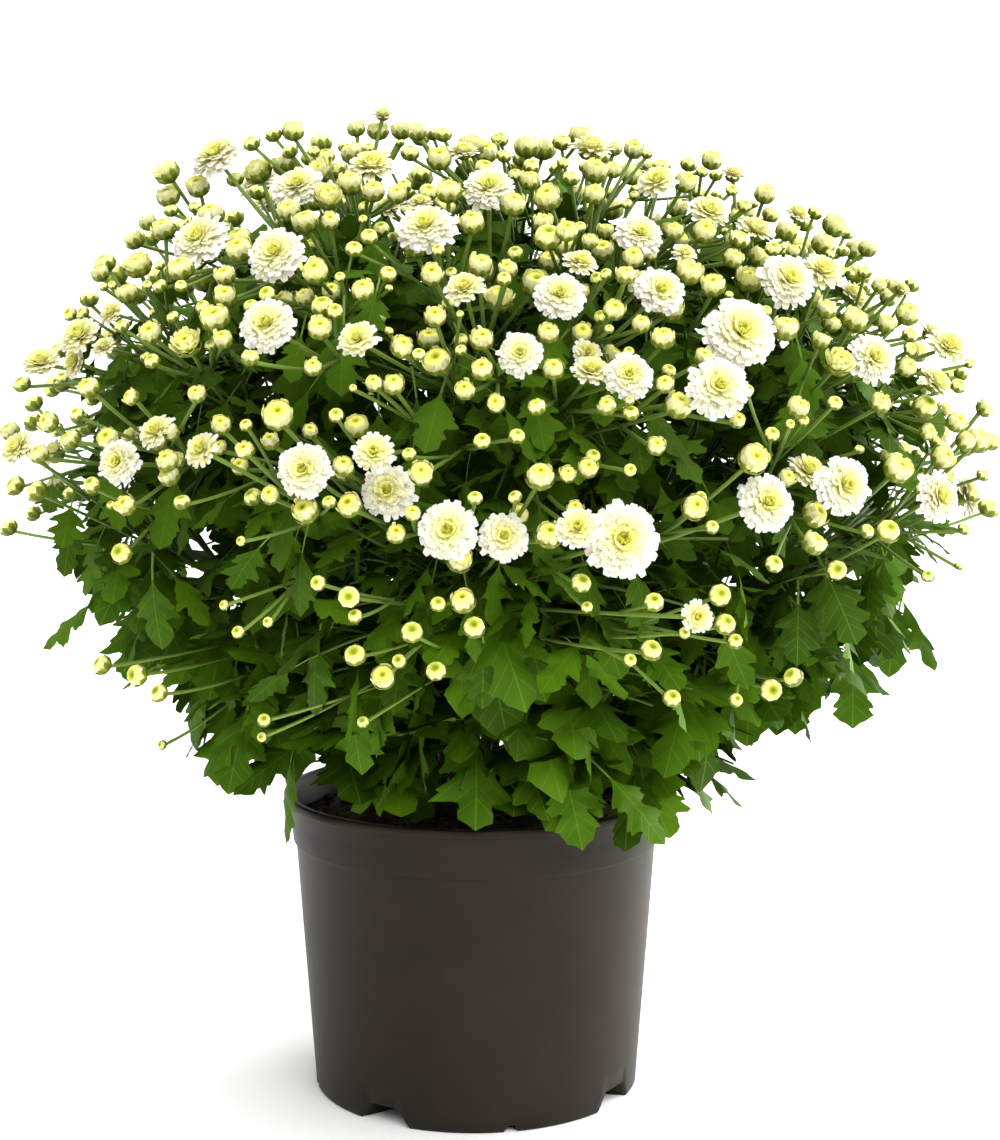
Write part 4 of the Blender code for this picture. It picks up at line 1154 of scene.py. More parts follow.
openBloom = {
    "tiers": (
        (24, 0.0, 0.16, 0.84, 12, -22, -0.06),
        (24, 0.5, 0.14, 0.80, 24, -10, -0.02),
        (22, 0.2, 0.13, 0.72, 34, -2, 0.02),
        (20, 0.6, 0.12, 0.62, 46, 6, 0.05),
        (17, 0.1, 0.11, 0.50, 58, 18, 0.08),
        (13, 0.4, 0.09, 0.40, 72, 48, 0.10),
        (9, 0.7, 0.07, 0.30, 88, 100, 0.12),
    ),
    "width": 0.136,
    "cup": 0.16,
    "stray": 0.05,
    "deep": 0.0,
    "core": 0.12,
    "coreLift": 1.9,
}

smallBloom = {
    "tiers": (
        (18, 0.0, 0.18, 0.86, 22, -8, -0.12),
        (17, 0.5, 0.16, 0.78, 36, 4, -0.06),
        (15, 0.2, 0.15, 0.66, 52, 18, 0.0),
        (13, 0.6, 0.13, 0.54, 68, 46, 0.04),
        (9, 0.1, 0.10, 0.40, 86, 104, 0.08),
    ),
    "width": 0.152,
    "cup": 0.22,
    "stray": 0.06,
    "deep": 0.0,
    "core": 0.16,
    "coreLift": 1.2,
}

# Heads that are opening: petals that flare round a closed middle
halfOpen = {
    "tiers": (
        (14, 0.0, 0.36, 1.06, 32, 76, -0.56),
        (13, 0.5, 0.34, 1.04, 44, 88, -0.46),
        (11, 0.2, 0.40, 0.84, 60, 108, -0.26),
    ),
    "width": 0.21,
    "cup": 0.10,
    "stray": 0.05,
    "deep": 2.0,
    "globe": 0.58,
    "lift": 0.02,
}

# Closed heads: a ring of petals that hug a globe of folded ones, their tips just free of it
button = {
    "tiers": ((11, 0.0, 0.74, 1.14, 62, 112, -0.52),),
    "width": 0.27,
    "cup": 0.06,
    "stray": 0.06,
    "deep": 2.0,
    "globe": 0.90,
    "lift": 0.0,
}

# Round buds: globes alone
bud = {"tiers": (), "globe": 1.0, "lift": 0.0}

# The radius up to which half-open heads are shown as closed ones
largestButton = 0.0068


def dressHeads(name, heads, look, material, nodes, seed):
    # Tiers of petals round a small green-yellow core or a globe with a dimple on top.
    rng = np.random.default_rng(seed)
    stand = headFrames(heads, seed)
    bed = newBed()
    for tier in look["tiers"]:
        petalTier(bed, *stand, look | dict(zip(tierNames, tier)), rng)
    if "core" in look:
        addCores(bed, *stand, look)
    else:
        addGlobes(bed, heads, look, seed)
    makePiece(name, bed, material, nodes)


def addCores(bed, frames, centres, sizes, look):
    # A low dome in the middle of each head: x = sin tilt cos turn, z = 0.8 cos tilt.
    tilt = np.radians(np.array((1.0, 32.0, 62.0, 92.0))).reshape(1, -1, 1)
    dome = ringed(np.sin(tilt), turns(8).reshape(1, 1, -1), 0.8 * np.cos(tilt))
    dome[..., 2] += look["coreLift"]
    dome = np.broadcast_to(dome, (len(sizes),) + dome.shape[1:])
    domes = placed(dome, frames, centres, sizes * look["core"])
    addGrids(bed, domes, marks(dome, 0.5), np.full(len(sizes), 0.5))


# Round buds and the middles of half-open heads: a globe of folded petals with a hollow on top
budShape = {
    "around": 16,
    "folds": 8,
    "foldDepth": 0.020,
    "height": 0.86,
    "hollow": 0.42,
    "hollowReach": 0.75,
    "swell": (0.95, 1.05),
    "deep": (0.6, 1.2),
}


def addGlobes(bed, heads, look, seed):
    # Radius 1 globe, drawn in and out by folds that fade at the poles and sunk at the top:
    # r = 1 + depth cos(folds turn) sin(tilt), z = height cos(tilt) - hollow near the top.
    rng = np.random.default_rng(seed)
    frames, centres, sizes = headFrames(heads, seed)
    tilt = np.radians(np.array((152.0, 116.0, 90.0, 66.0, 45.0, 30.0, 16.0, 1.0))).reshape(1, -1, 1)
    turn = turns(budShape["around"]).reshape(1, 1, -1)
    fold = budShape["foldDepth"] * np.cos(budShape["folds"] * turn)
    radius = np.sin(tilt) * (1.0 + fold * np.sin(tilt))
    sink = budShape["hollow"] * np.clip(1.0 - tilt / budShape["hollowReach"], 0.0, 1.0) ** 1.2
    swell = rng.uniform(*budShape["swell"], (len(heads), 1, 1))
    deep = rng.uniform(*budShape["deep"], (len(heads), 1, 1))
    points = ringed(radius, turn, (budShape["height"] * np.cos(tilt) - sink * deep + look["lift"]) / swell)
    points[..., :2] *= swell[..., None]
    place = marks(points, tilt / math.pi, np.cos(budShape["folds"] * turn))
    world = placed(points, frames, centres, sizes * look["globe"])
    addGrids(bed, world, place, rng.uniform(0.0, 1.0, len(heads)))


# Stalks, main stems and twigs: rows and points around, how far stalks bow and sag, how much thinner
# buds' stalks are, how uneven main stems are, and the twigs' radii
stemShape = {
    "rows": 7,
    "around": 5,
    "bow": 0.09,
    "sag": np.array((0.0, 0.0, 0.6)),
    "budStalk": 0.86,
    "uneven": 0.04,
    "mainRows": 26,
    "mainAround": 8,
    "twigRows": 10,
    "twigRoot": 0.0013,
    "twigTip": 0.0007,
}

# What tells the stems' parts apart in their material, besides 0 for wood
stalkMark = 1.0
bractMark = 2.0


def addTwigs(bed, routes, seed):
    # The leafy shoots' own stems, thinner towards their tips.
    rng = np.random.default_rng(seed)
    centres = np.array([smoothRoute(route, stemShape["twigRows"]) for route in routes])
    taper = np.linspace(stemShape["twigRoot"], stemShape["twigTip"], stemShape["twigRows"])
    radii = np.broadcast_to(taper, centres.shape[:2])
    tubes(bed, centres, radii, stemShape["around"], 0.0, rng.uniform(0, 1, len(routes)))


# Green bracts under each head, in shares of its radius: how wide and how high the cup is
bractCups = {
    "bloom": {"bottom": -0.36, "top": -0.02, "wide": 0.42, "points": 9, "tips": 0.10},
    "smallBloom": {"bottom": -0.50, "top": -0.06, "wide": 0.52, "points": 8, "tips": 0.10},
    "halfOpen": {"bottom": -0.92, "top": -0.06, "wide": 0.97, "points": 8, "tips": 0.17},
    "bud": {"bottom": -0.90, "top": 0.10, "wide": 1.07, "points": 7, "tips": 0.20},
}


def addBracts(bed, kind, heads, seed):
    # A cup that opens from the stalk, its rim waved into points: the radius follows a quarter
    # circle and the rim rises by the points' cosine.
    cup = bractCups[kind]
    rng = np.random.default_rng(seed)
    climb = np.array((0.0, 0.35, 0.72, 1.0)).reshape(1, -1, 1)
    turn = turns(2 * cup["points"]).reshape(1, 1, -1)
    wave = np.cos(cup["points"] * turn)
    swell = np.sin(0.5 * math.pi * np.clip(climb * 1.05 + 0.12, 0.0, 1.0))
    radius = cup["wide"] * swell * (1.0 + 0.03 * wave)
    height = cup["bottom"] + (cup["top"] - cup["bottom"]) * climb ** 1.4
    points = ringed(radius, turn, height + cup["tips"] * wave * climb ** 3)
    points = points * rng.uniform(0.98, 1.03, (len(heads), 1, 1))[..., None]
    place = marks(points, climb, wave, bractMark)
    addGrids(bed, placed(points, *headFrames(heads, seed)), place, rng.uniform(0.0, 1.0, len(heads)))


def tubes(bed, centres, radii, around, kindMark, shade):
    # Tubes along many routes at once: a ring of points round each centre, square to the route.
    heading = np.gradient(centres, axis=1)
    heading /= np.linalg.norm(heading, axis=2, keepdims=True)
    guide = np.zeros((len(centres), 1, 3))
    upright = np.abs(heading.mean(axis=1)[:, 2]) > 0.8
    guide[upright, 0, 0] = 1.0
    guide[~upright, 0, 2] = 1.0
    side = np.cross(heading, guide)
    side /= np.linalg.norm(side, axis=2, keepdims=True)
    lift = np.cross(side, heading)
    turn = turns(around).reshape(1, 1, -1, 1)
    ring = np.cos(turn) * side[:, :, None, :] + np.sin(turn) * lift[:, :, None, :]
    points = centres[:, :, None, :] + radii[:, :, None, None] * ring
    share = np.linspace(0.0, 1.0, centres.shape[1]).reshape(1, -1, 1)
    # the second mark is the depth that the stem material darkens by, as painted shade
    addGrids(bed, points, marks(points, share, paintedInnerShade(points), kindMark), shade)


def smoothRoute(points, rows):
    # A smooth curve through a route's points, read at even steps (Catmull-Rom).
    knots = np.array([tuple(point) for point in points])
    knots = np.vstack((2.0 * knots[0] - knots[1], knots, 2.0 * knots[-1] - knots[-2]))
    spans = len(points) - 1
    place = np.linspace(0.0, spans, rows)
    span = np.minimum(place.astype(int), spans - 1)
    t = (place - span)[:, None]
    a, b, c, d = knots[span], knots[span + 1], knots[span + 2], knots[span + 3]
    curve = 2.0 * b + (c - a) * t + (2.0 * a - 5.0 * b + 4.0 * c - d) * t ** 2
    return 0.5 * (curve + (3.0 * b - a - 3.0 * c + d) * t ** 3)


def dressStems(name, stems, shoots, material, nodes, seed):
    # The main stems, the heads' stalks, the shoots' twigs and the bracts. A stalk bows and sags by a
    # share of its length times s (1 - s), and is thinnest near its middle.
    rng = np.random.default_rng(seed)
    bed = newBed()
    mains = np.array([smoothRoute(stem["points"], stemShape["mainRows"]) for stem in stems])
    uneven = stemShape["uneven"] * rng.normal(size=mains.shape[:2])
    taper = np.linspace(stemRadius, stemTopRadius, stemShape["mainRows"])
    taper = np.broadcast_to(taper, mains.shape[:2]) * (1.0 + uneven)
    tubes(bed, mains, taper, stemShape["mainAround"], 0.0, rng.uniform(0.0, 1.0, len(stems)))
    heads = [head for stem in stems for head in stem["heads"]]
    roots = np.array([head["root"] for head in heads])
    ends = np.array([head["end"] for head in heads])
    share = np.linspace(0.0, 1.0, stemShape["rows"]).reshape(1, -1, 1)
    run = ends - roots
    length = np.linalg.norm(run, axis=1)[:, None, None]
    bow = rng.normal(size=(len(heads), 1, 3)) * stemShape["bow"] * 0.5
    bow = bow - stemShape["sag"] * stemShape["bow"]
    centres = roots[:, None, :] + run[:, None, :] * share + bow * length * share * (1.0 - share)
    radii = stalkRadius * (0.86 + 0.5 * (share[..., 0] - 0.45) ** 2) * np.ones((len(heads), 1))
    isBud = np.array([head["kind"] == "bud" for head in heads])
    radii = radii * np.where(isBud, stemShape["budStalk"], 1.0)[:, None]
    tubes(bed, centres, radii, stemShape["around"], stalkMark, rng.uniform(0.0, 1.0, len(heads)))
    addTwigs(bed, shoots, seed + 50)
    for kind in bractCups:
        addBracts(bed, kind, [head for head in heads if head["kind"] == kind], seed + len(kind))
    makePiece(name, bed, material, nodes)


# Two kinds of leaf: stations along the blade and half the width there of each kind, in shares of
# its length. The first has two pairs of side lobes, the second one large pair. Rows slant
# forward from the midrib, so that the lobes point towards the tip
leafOutline = np.array((
    (0.00, 0.018, 0.018), (0.07, 0.045, 0.035), (0.12, 0.120, 0.080), (0.16, 0.235, 0.165),
    (0.20, 0.300, 0.245), (0.24, 0.272, 0.235), (0.28, 0.340, 0.320), (0.32, 0.310, 0.292),
    (0.35, 0.220, 0.355), (0.38, 0.170, 0.395), (0.42, 0.190, 0.385), (0.46, 0.275, 0.300),
    (0.50, 0.350, 0.200), (0.54, 0.318, 0.165), (0.58, 0.378, 0.190), (0.62, 0.315, 0.245),
    (0.66, 0.220, 0.265), (0.70, 0.175, 0.225), (0.75, 0.205, 0.230), (0.80, 0.185, 0.190),
    (0.86, 0.160, 0.150), (0.92, 0.095, 0.095), (1.00, 0.006, 0.006),
))
plainOutline = leafOutline[[0, 2, 4, 6, 9, 11, 13, 14, 17, 18, 22]]


# Where the painted shade inside the plant turns from dark to light: the start and the span, as shares of
# the crown's size and of the skirt's reach, and the heights between which the skirt passes into the crown
paintedShadeSpans = {"crown": (0.62, 0.46), "skirt": (0.55, 0.38), "seam": (0.27, 0.05)}


def paintedInnerShade(points):
    # 1 at the crown's surface and on the skirt, 0 deep inside: how far leaves, stems and stalks are
    # darkened as painted shade, where little light reaches inside the plant.
    def climb(values, part):
        start, span = paintedShadeSpans[part]
        return np.clip((values - start) / span, 0.0, 1.0)

    scaled = (points - np.array(crownCentre)) / np.array(crownSize)
    out = climb(np.linalg.norm(scaled, axis=-1), "crown")
    spread = np.hypot(points[..., 0] - crownCentre.x, points[..., 1])
    skirt = climb(spread / np.interp(points[..., 2], skirtHeights, skirtReach), "skirt")
    share = climb(points[..., 2], "seam")
    return out * share + skirt * (1.0 - share)


# How far a leaf's rows slant, its columns, its lobes' unevenness, the ripple's height, steps along
# the blade and shift between its sides, its keel, and the shade up to which leaves are plain ones
leafShape = {
    "slant": 0.42,
    "columns": (-1.0, -0.5, 0.0, 0.5, 1.0),
    "plainColumns": (-1.0, 0.0, 1.0),
    "uneven": 0.07,
    "ripple": 0.030,
    "waves": 17.0,
    "shift": 2.2,
    "keel": 0.05,
    "plainBelow": 0.36,
}


def addLeaves(bed, leaves, blades, columns, rng):
    # Blades on their stalks: x runs along the midrib, with rows slanted forward by their width,
    # y out from it. They bend down with the square of x, hang at their sides and ripple by a wave.
    vectors, numbers = (
        {key: np.array([leaf[key] for leaf in leaves])[:, None, None] for key in keys}
        for keys in (("root", "heading", "side", "face"), ("length", "reach", "bend", "cup"))
    )
    outline = np.vstack((np.array(((-1.0, 0.022, 0.022), (-0.4, 0.018, 0.018))), blades))
    blade = np.clip(outline[:, 0], 0.0, None)[None, :, None]
    stalk = np.clip(outline[:, 0], -1.0, 0.0)[None, :, None]
    columns = np.array(columns)[None, None, :]
    vary = leafShape["uneven"] * rng.normal(size=(len(leaves), len(outline), 1)) * (blade > 0.05)
    kind = rng.integers(1, 3, len(leaves))
    half = outline.T[kind][:, :, None] * (1.0 + vary)
    out = half * columns * numbers["length"]
    slant = leafShape["slant"] * half * np.abs(columns) * (stalk == 0.0)
    along = petioleLength * (1.0 + stalk) + (0.94 * blade + 0.06 * blade ** 6 + slant) * numbers["length"]
    phase = rng.uniform(0.0, 2.0 * math.pi, (len(leaves), 1, 1))
    wave = np.sin(blade * leafShape["waves"] + phase + leafShape["shift"] * np.sign(columns))
    wave = wave * np.abs(columns) ** 1.5
    lift = leafShape["ripple"] * wave * half / 0.3 * numbers["length"]
    lift = lift + leafShape["keel"] * np.abs(out) * (np.abs(columns) < 0.75)
    sink = numbers["bend"] * along ** 2 / numbers["reach"] + numbers["cup"] * np.abs(out) - lift
    points = vectors["root"] + vectors["heading"] * along[..., None] + vectors["side"] * out[..., None]
    points = points - vectors["face"] * sink[..., None]
    # the third mark is the depth that the leaf material darkens by, as painted shade
    place = marks(points, blade + stalk, half * columns, paintedInnerShade(points))
    addGrids(bed, points, place, rng.uniform(0.0, 1.0, len(leaves)), wrap=False)


def dressLeaves(name, leaves, material, nodes, seed):
    # Full leaves where they are seen, plain ones deep inside.
    rng = np.random.default_rng(seed)
    tips = np.array([leafPoint(leaf, leaf["reach"], 0.0) for leaf in leaves])
    isInside = paintedInnerShade(tips) < leafShape["plainBelow"]
    outer = [leaf for leaf, hidden in zip(leaves, isInside) if not hidden]
    inner = [leaf for leaf, hidden in zip(leaves, isInside) if hidden]
    bed = newBed()
    addLeaves(bed, outer, leafOutline, leafShape["columns"], rng)
    addLeaves(bed, inner, plainOutline, leafShape["plainColumns"], rng)
    print("leaves in", name, "full:", len(outer), "plain:", len(inner))
    makePiece(name, bed, material, nodes)


# The pot's points around, its rounded edge, and how far its openings' sides slope
potLook = {"around": 288, "edge": 0.0009, "notchSlope": 0.0020, "gapSlope": 0.19 * gapWidth}


def footShare(turn, offset, width, slope):
    # 1 across an opening in the base's edge, once for each foot, and sloping to 0 at its sides.
    quarter = 2.0 * math.pi / footCount
    fromMiddle = np.abs((turn - footTurn + offset * quarter) % quarter - 0.5 * quarter) * baseRadius
    return np.clip((0.5 * width - fromMiddle) / slope, 0.0, 1.0)


def turnedGrid(bed, profile, around):
    # A profile of radius and height per turn, turned round the axis.
    turn = turns(around)
    radius, height = profile(turn)
    points = ringed(radius, turn, height)[None]
    addGrids(bed, points, marks(points), [0.5])


def innerRadius(height):
    # The pot's radius inside, which grows evenly with height up to the band.
    share = min(max(height / (potHeight - bandHeight), 0.0), 1.0)
    return baseRadius - wallThickness - 0.002 + share * (bodyRadius - baseRadius + 0.0016)


def dressPot(material):
    # A profile that runs up inside the wall, over the lip, down past the band and in under the base.
    lipBottom = potHeight - lipHeight
    bandBottom = lipBottom - bandHeight
    edge = potLook["edge"]
    mouth = rimRadius - lipHeight
    upper = (
        (innerRadius(0.012), 0.012), (innerRadius(bandBottom), bandBottom),
        (mouth - 0.0008, bandBottom + 0.006), (mouth - 0.0002, potHeight - 0.0012),
        (mouth + 0.0006, potHeight - 0.0003), (mouth + 0.0014, potHeight),
        (rimRadius - 1.6 * edge, potHeight), (rimRadius - 0.6 * edge, potHeight - 0.3 * edge),
        (rimRadius, potHeight - edge), (rimRadius, lipBottom + edge),
        (rimRadius - 0.4 * edge, lipBottom + 0.3 * edge), (rimRadius - 1.2 * edge, lipBottom),
        (bandRadius + 0.0016, lipBottom - 0.0002), (bandRadius + 0.0009, lipBottom - 0.0009),
        (bandRadius - 0.0002, 0.5 * (lipBottom + bandBottom)), (bandRadius - 0.0011, bandBottom + 0.0012),
        (bandRadius - 0.0014, bandBottom + 0.0004), (bodyRadius + 0.0002, bandBottom - 0.0003),
        (bodyRadius - 0.0002, bandBottom - 0.0012),
    )

    def wall(turn):
        gap = footShare(turn, 0.0, gapWidth, potLook["gapSlope"])
        notch = footShare(turn, 0.5, notchWidth + 0.0012, potLook["notchSlope"])
        low = gap * gapHeight + notch * notchHeight
        inward = baseRadius - gap * gapDepth - notch * notchDepth
        rows = list(upper)
        for share in (0.30, 0.60, 0.85, 0.95):
            radius = bodyRadius + (baseRadius - bodyRadius) * share
            rows.append((radius, np.maximum(bandBottom * (1.0 - share), low + 0.0012)))
        rows += [
            (baseRadius + 0.0002, low + 0.0011), (baseRadius - 0.0005, low + 0.0002),
            (baseRadius - 0.0013, low), (inward - 0.0016, low),
            (inward - 0.0020 - 0.002 * gap, 0.0), (0.5 * baseRadius, 0.0), (0.001, 0.0),
        ]
        return [np.array([part + 0.0 * turn for part in column]) for column in zip(*rows)]

    bed = newBed()
    turnedGrid(bed, wall, potLook["around"])
    makePiece("pot_shell", bed, material, ["pot"])


# The soil's top: rings and points around, its waves' height and steps, its crumbs and its seed
soilLook = {"rings": 46, "around": 120, "lumps": 0.0016, "waves": (120, 900), "crumbs": 420, "seed": 9}


def dressSoil(material):
    # The top is a polar grid whose height is a mound plus seven waves of random sizes, and its outer
    # rows run down inside the pot. Crumbs are squashed, uneven globes half sunk in it.
    rng = np.random.default_rng(soilLook["seed"])
    outer = innerRadius(soilLevel) - 0.0007
    ranges = (soilLook["waves"], (0, 6), soilLook["waves"], (0, 6))
    waves = [[rng.uniform(*span) for span in ranges] for i in range(7)]

    def height(x, y):
        lumps = sum(np.sin(x * a + b) * np.sin(y * c + d) / (1 + 0.012 * a) for a, b, c, d in waves)
        reach = np.hypot(x, y) / outer
        return soilLevel + soilMound * (1.0 - reach ** 2) + soilLook["lumps"] * lumps - 0.002 * reach ** 6

    def top(turn):
        rings = np.linspace(0.0005, outer, soilLook["rings"])[:, None]
        x = rings * np.cos(turn)
        y = rings * np.sin(turn)
        radius = np.hypot(x, y)
        z = height(x, y)
        low = np.array((0.14, 0.10, 0.05, gapHeight + 0.0025, gapHeight + 0.0025, 0.0032))
        sides = np.array([innerRadius(z0) - 0.0008 for z0 in low])
        sides[-2:] = baseRadius - gapDepth - 0.006
        sides = sides[:, None] + 0.0 * turn
        radius = np.vstack((radius, sides, 0.001 + 0.0 * sides[:1]))
        z = np.vstack((z, low[:, None] + 0.0 * turn, low[-1] + 0.0 * sides[:1]))
        return radius, z

    bed = newBed()
    turnedGrid(bed, top, soilLook["around"])
    count = soilLook["crumbs"]
    spot = outer * 0.97 * np.sqrt(rng.uniform(0, 1, count))
    angle = rng.uniform(0, 2 * math.pi, count)
    middle = np.stack((spot * np.cos(angle), spot * np.sin(angle), 0.0 * spot), axis=-1)
    middle[:, 2] = height(middle[:, 0], middle[:, 1])
    tilt = np.linspace(0.05, math.pi - 0.05, 5).reshape(1, -1, 1)
    unitGlobe = ringed(np.sin(tilt), turns(6).reshape(1, 1, -1), np.cos(tilt))
    size = rng.uniform(0.0008, 0.0030, (count, 1, 1, 1)) * rng.uniform(0.5, 1.5, (count, 1, 1, 3))
    size[..., 2] *= 0.7
    globes = unitGlobe * size * rng.uniform(0.8, 1.2, (count, 5, 6, 1)) + middle[:, None, None, :]
    addGrids(bed, globes, marks(globes), rng.uniform(0, 1, count))
    makePiece("soil_bed", bed, material, ["soil"])


def paint(red, green, blue):
    # A colour as the eye reads it, 0 to 255, in the linear numbers that a shader takes.
    values = [(channel / 255.0 + 0.055) / 1.055 for channel in (red, green, blue)]
    return tuple(max(value, 0.055 / 1.055 + 0.0031) ** 2.4 for value in values) + (1.0,)


class Nodes:
    # A node tree: each call adds a node fed with numbers, colours or other nodes' outputs.

    def __init__(self, tree):
        self.tree = tree

    def add(self, kind, **values):
        made = self.tree.nodes.new(kind)
        for key, value in values.items():
            setattr(made, key, value)
        return made

    def feed(self, sockets, *values):
        # An output is linked to its socket, and anything else is the socket's own value.
        for socket, value in zip(sockets, values):
            if isinstance(value, bpy.types.NodeSocket):
                self.tree.links.new(value, socket)
            else:
                socket.default_value = value

    def number(self, operation, *values):
        made = self.add("ShaderNodeMath", operation=operation)
        self.feed(made.inputs, *values)
        return made.outputs[0]

    def times(self, first, second):
        return self.number("MULTIPLY", first, second)

    def mixed(self, share, first, second):
        made = self.add("ShaderNodeMix", data_type="RGBA")
        self.feed((made.inputs[0], made.inputs[6], made.inputs[7]), share, first, second)
        return made.outputs[2]

    def ramp(self, value, *stops):
        # A colour ramp through stops of a place and a colour.
        made = self.add("ShaderNodeValToRGB")
        elements = made.color_ramp.elements
        while len(elements) < len(stops):
            elements.new(0.5)
        for element, (place, *colour) in zip(elements, stops):
            element.position = place
            element.color = paint(*colour)
        self.feed(made.inputs, value)
        return made.outputs["Color"]

    def noise(self, scale, detail=2.0, roughness=0.5):
        where = self.add("ShaderNodeTexCoord")
        made = self.add("ShaderNodeTexNoise")
        sockets = [made.inputs[name] for name in ("Vector", "Scale", "Detail", "Roughness")]
        self.feed(sockets, where.outputs["Object"], scale, detail, roughness)
        return made.outputs["Fac"]

    def marks(self):
        # The three numbers at each point, and its shade.
        where = self.add("ShaderNodeAttribute", attribute_name="place")
        apart = self.add("ShaderNodeSeparateXYZ")
        self.feed(apart.inputs, where.outputs["Vector"])
        shade = self.add("ShaderNodeAttribute", attribute_name="shade")
        return *apart.outputs, shade.outputs["Fac"]


class Surface(Nodes):
    # A material: its nodes, and its shader's sockets by name.

    def __init__(self, name, roughness):
        self.material = bpy.data.materials.new(name)
        self.material.use_nodes = True
        super().__init__(self.material.node_tree)
        self.shader = self.tree.nodes["Principled BSDF"]
        self.set("Roughness", roughness)

    def set(self, name, value):
        self.feed([self.shader.inputs[name]], value)

    def bump(self, height, distance, strength):
        made = self.add("ShaderNodeBump")
        sockets = [made.inputs[name] for name in ("Height", "Distance", "Strength")]
        self.feed(sockets, height, distance, strength)
        self.set("Normal", made.outputs["Normal"])

    def ribs(self, across, count):
        # Faint lengthwise veins: the sine of the way across.
        self.bump(self.number("SINE", self.times(across, count), 0.0), 0.00006, 0.6)

    def glow(self):
        # Light passes a little way through petals.
        self.set("Subsurface Weight", 0.5)
        self.set("Subsurface Radius", (1.0, 1.0, 0.8))
        self.set("Subsurface Scale", 0.004)
        self.set("Specular IOR Level", 0.2)

    def finish(self, colour):
        self.set("Base Color", colour)
        return self.material


def petalMaterial(name, heartFrom, heartTo):
    # White petals that turn yellow towards the bloom's middle.
    look = Surface(name, 0.55)
    _, across, reach, shade = look.marks()
    edgeFrom = min(heartTo + 0.35, 0.98)
    colour = look.ramp(
        reach, (0.0, 226, 226, 62), (heartFrom, 242, 239, 120),
        (heartTo, 239, 236, 192), (edgeFrom, 236, 234, 226),
    )
    look.ribs(across, 11.0)
    look.glow()
    return look.finish(look.mixed(look.times(shade, 0.10), colour, paint(236, 232, 205)))


def halfOpenMaterial():
    # Pale yellow petals with cream tips, over a globe that is yellow-green in its dimple.
    look = Surface("half-open petals", 0.55)
    along, across, reach, shade = look.marks()
    petals = look.ramp(
        along, (0.0, 194, 202, 78), (0.25, 234, 233, 122), (0.65, 244, 242, 158), (1.0, 248, 246, 190),
    )
    globe = look.ramp(
        along, (0.0, 110, 112, 8), (0.06, 176, 178, 26), (0.13, 238, 234, 96),
        (0.26, 243, 240, 134), (0.42, 245, 243, 166), (0.70, 212, 217, 100),
    )
    colour = look.mixed(look.number("GREATER_THAN", reach, 1.5), globe, petals)
    look.ribs(across, 9.0)
    look.glow()
    return look.finish(look.mixed(look.times(shade, 0.16), colour, paint(226, 228, 120)))


def budMaterial():
    # Cream sides, a green hollow at the top and green between the folds low down, with painted crease
    # shade along the fold valleys.
    look = Surface("bud petals", 0.50)
    along, across, _, shade = look.marks()
    colour = look.ramp(
        along, (0.0, 96, 112, 6), (0.08, 142, 154, 20), (0.15, 190, 198, 62), (0.22, 240, 239, 140),
        (0.42, 244, 242, 170), (0.60, 218, 222, 106), (0.80, 140, 156, 50),
    )
    fold = look.times(look.number("SUBTRACT", 0.2, across), look.times(along, 0.7))
    colour = look.mixed(look.number("MAXIMUM", fold, 0.0), colour, paint(140, 158, 44))
    # painted crease shade: darker yellow-green along the deepest part of each fold
    seam = look.times(look.number("LESS_THAN", across, -0.62), 0.45)
    colour = look.mixed(seam, colour, paint(184, 190, 80))
    look.glow()
    return look.finish(look.mixed(look.times(shade, 0.24), colour, paint(186, 196, 70)))


# Where the side veins leave the midrib, how they slope, and half the veins' widths
leafVeins = {"starts": (0.07, 0.23, 0.42, 0.59, 0.73), "slope": 0.45, "midrib": 0.007, "side": 0.0045}


def leafMaterial():
    # Green blades with a pale midrib and side veins that run out into the lobes. Deep inside the plant
    # they are darkened as painted shade, and their specular sheen is turned down there.
    look = Surface("leaf", 0.66)
    along, across, outer, shade = look.marks()
    tone = look.number("ADD", look.times(look.noise(60.0, 3.0), 0.4), look.times(shade, 0.6))
    colour = look.ramp(tone, (0.20, 48, 75, 4), (0.55, 65, 100, 6), (0.82, 82, 120, 10))
    out = look.number("ABSOLUTE", across, 0.0)
    veins = look.number("LESS_THAN", out, leafVeins["midrib"])
    for start in leafVeins["starts"]:
        reach = look.number("SUBTRACT", along, look.number("MULTIPLY_ADD", out, leafVeins["slope"], start))
        line = look.number("LESS_THAN", look.number("ABSOLUTE", reach, 0.0), leafVeins["side"])
        veins = look.number("MAXIMUM", veins, line)
    colour = look.mixed(look.times(veins, 0.34), colour, paint(122, 156, 40))
    colour = look.mixed(look.number("LESS_THAN", along, 0.0), colour, paint(126, 154, 72))
    look.set("Specular IOR Level", look.times(outer, 0.10))
    look.bump(look.number("SUBTRACT", look.noise(260.0), look.times(veins, 0.7)), 0.0004, 0.5)
    # painted shade: dark green where the depth mark says the leaf lies deep inside the plant
    return look.finish(look.mixed(outer, paint(50, 72, 14), colour))


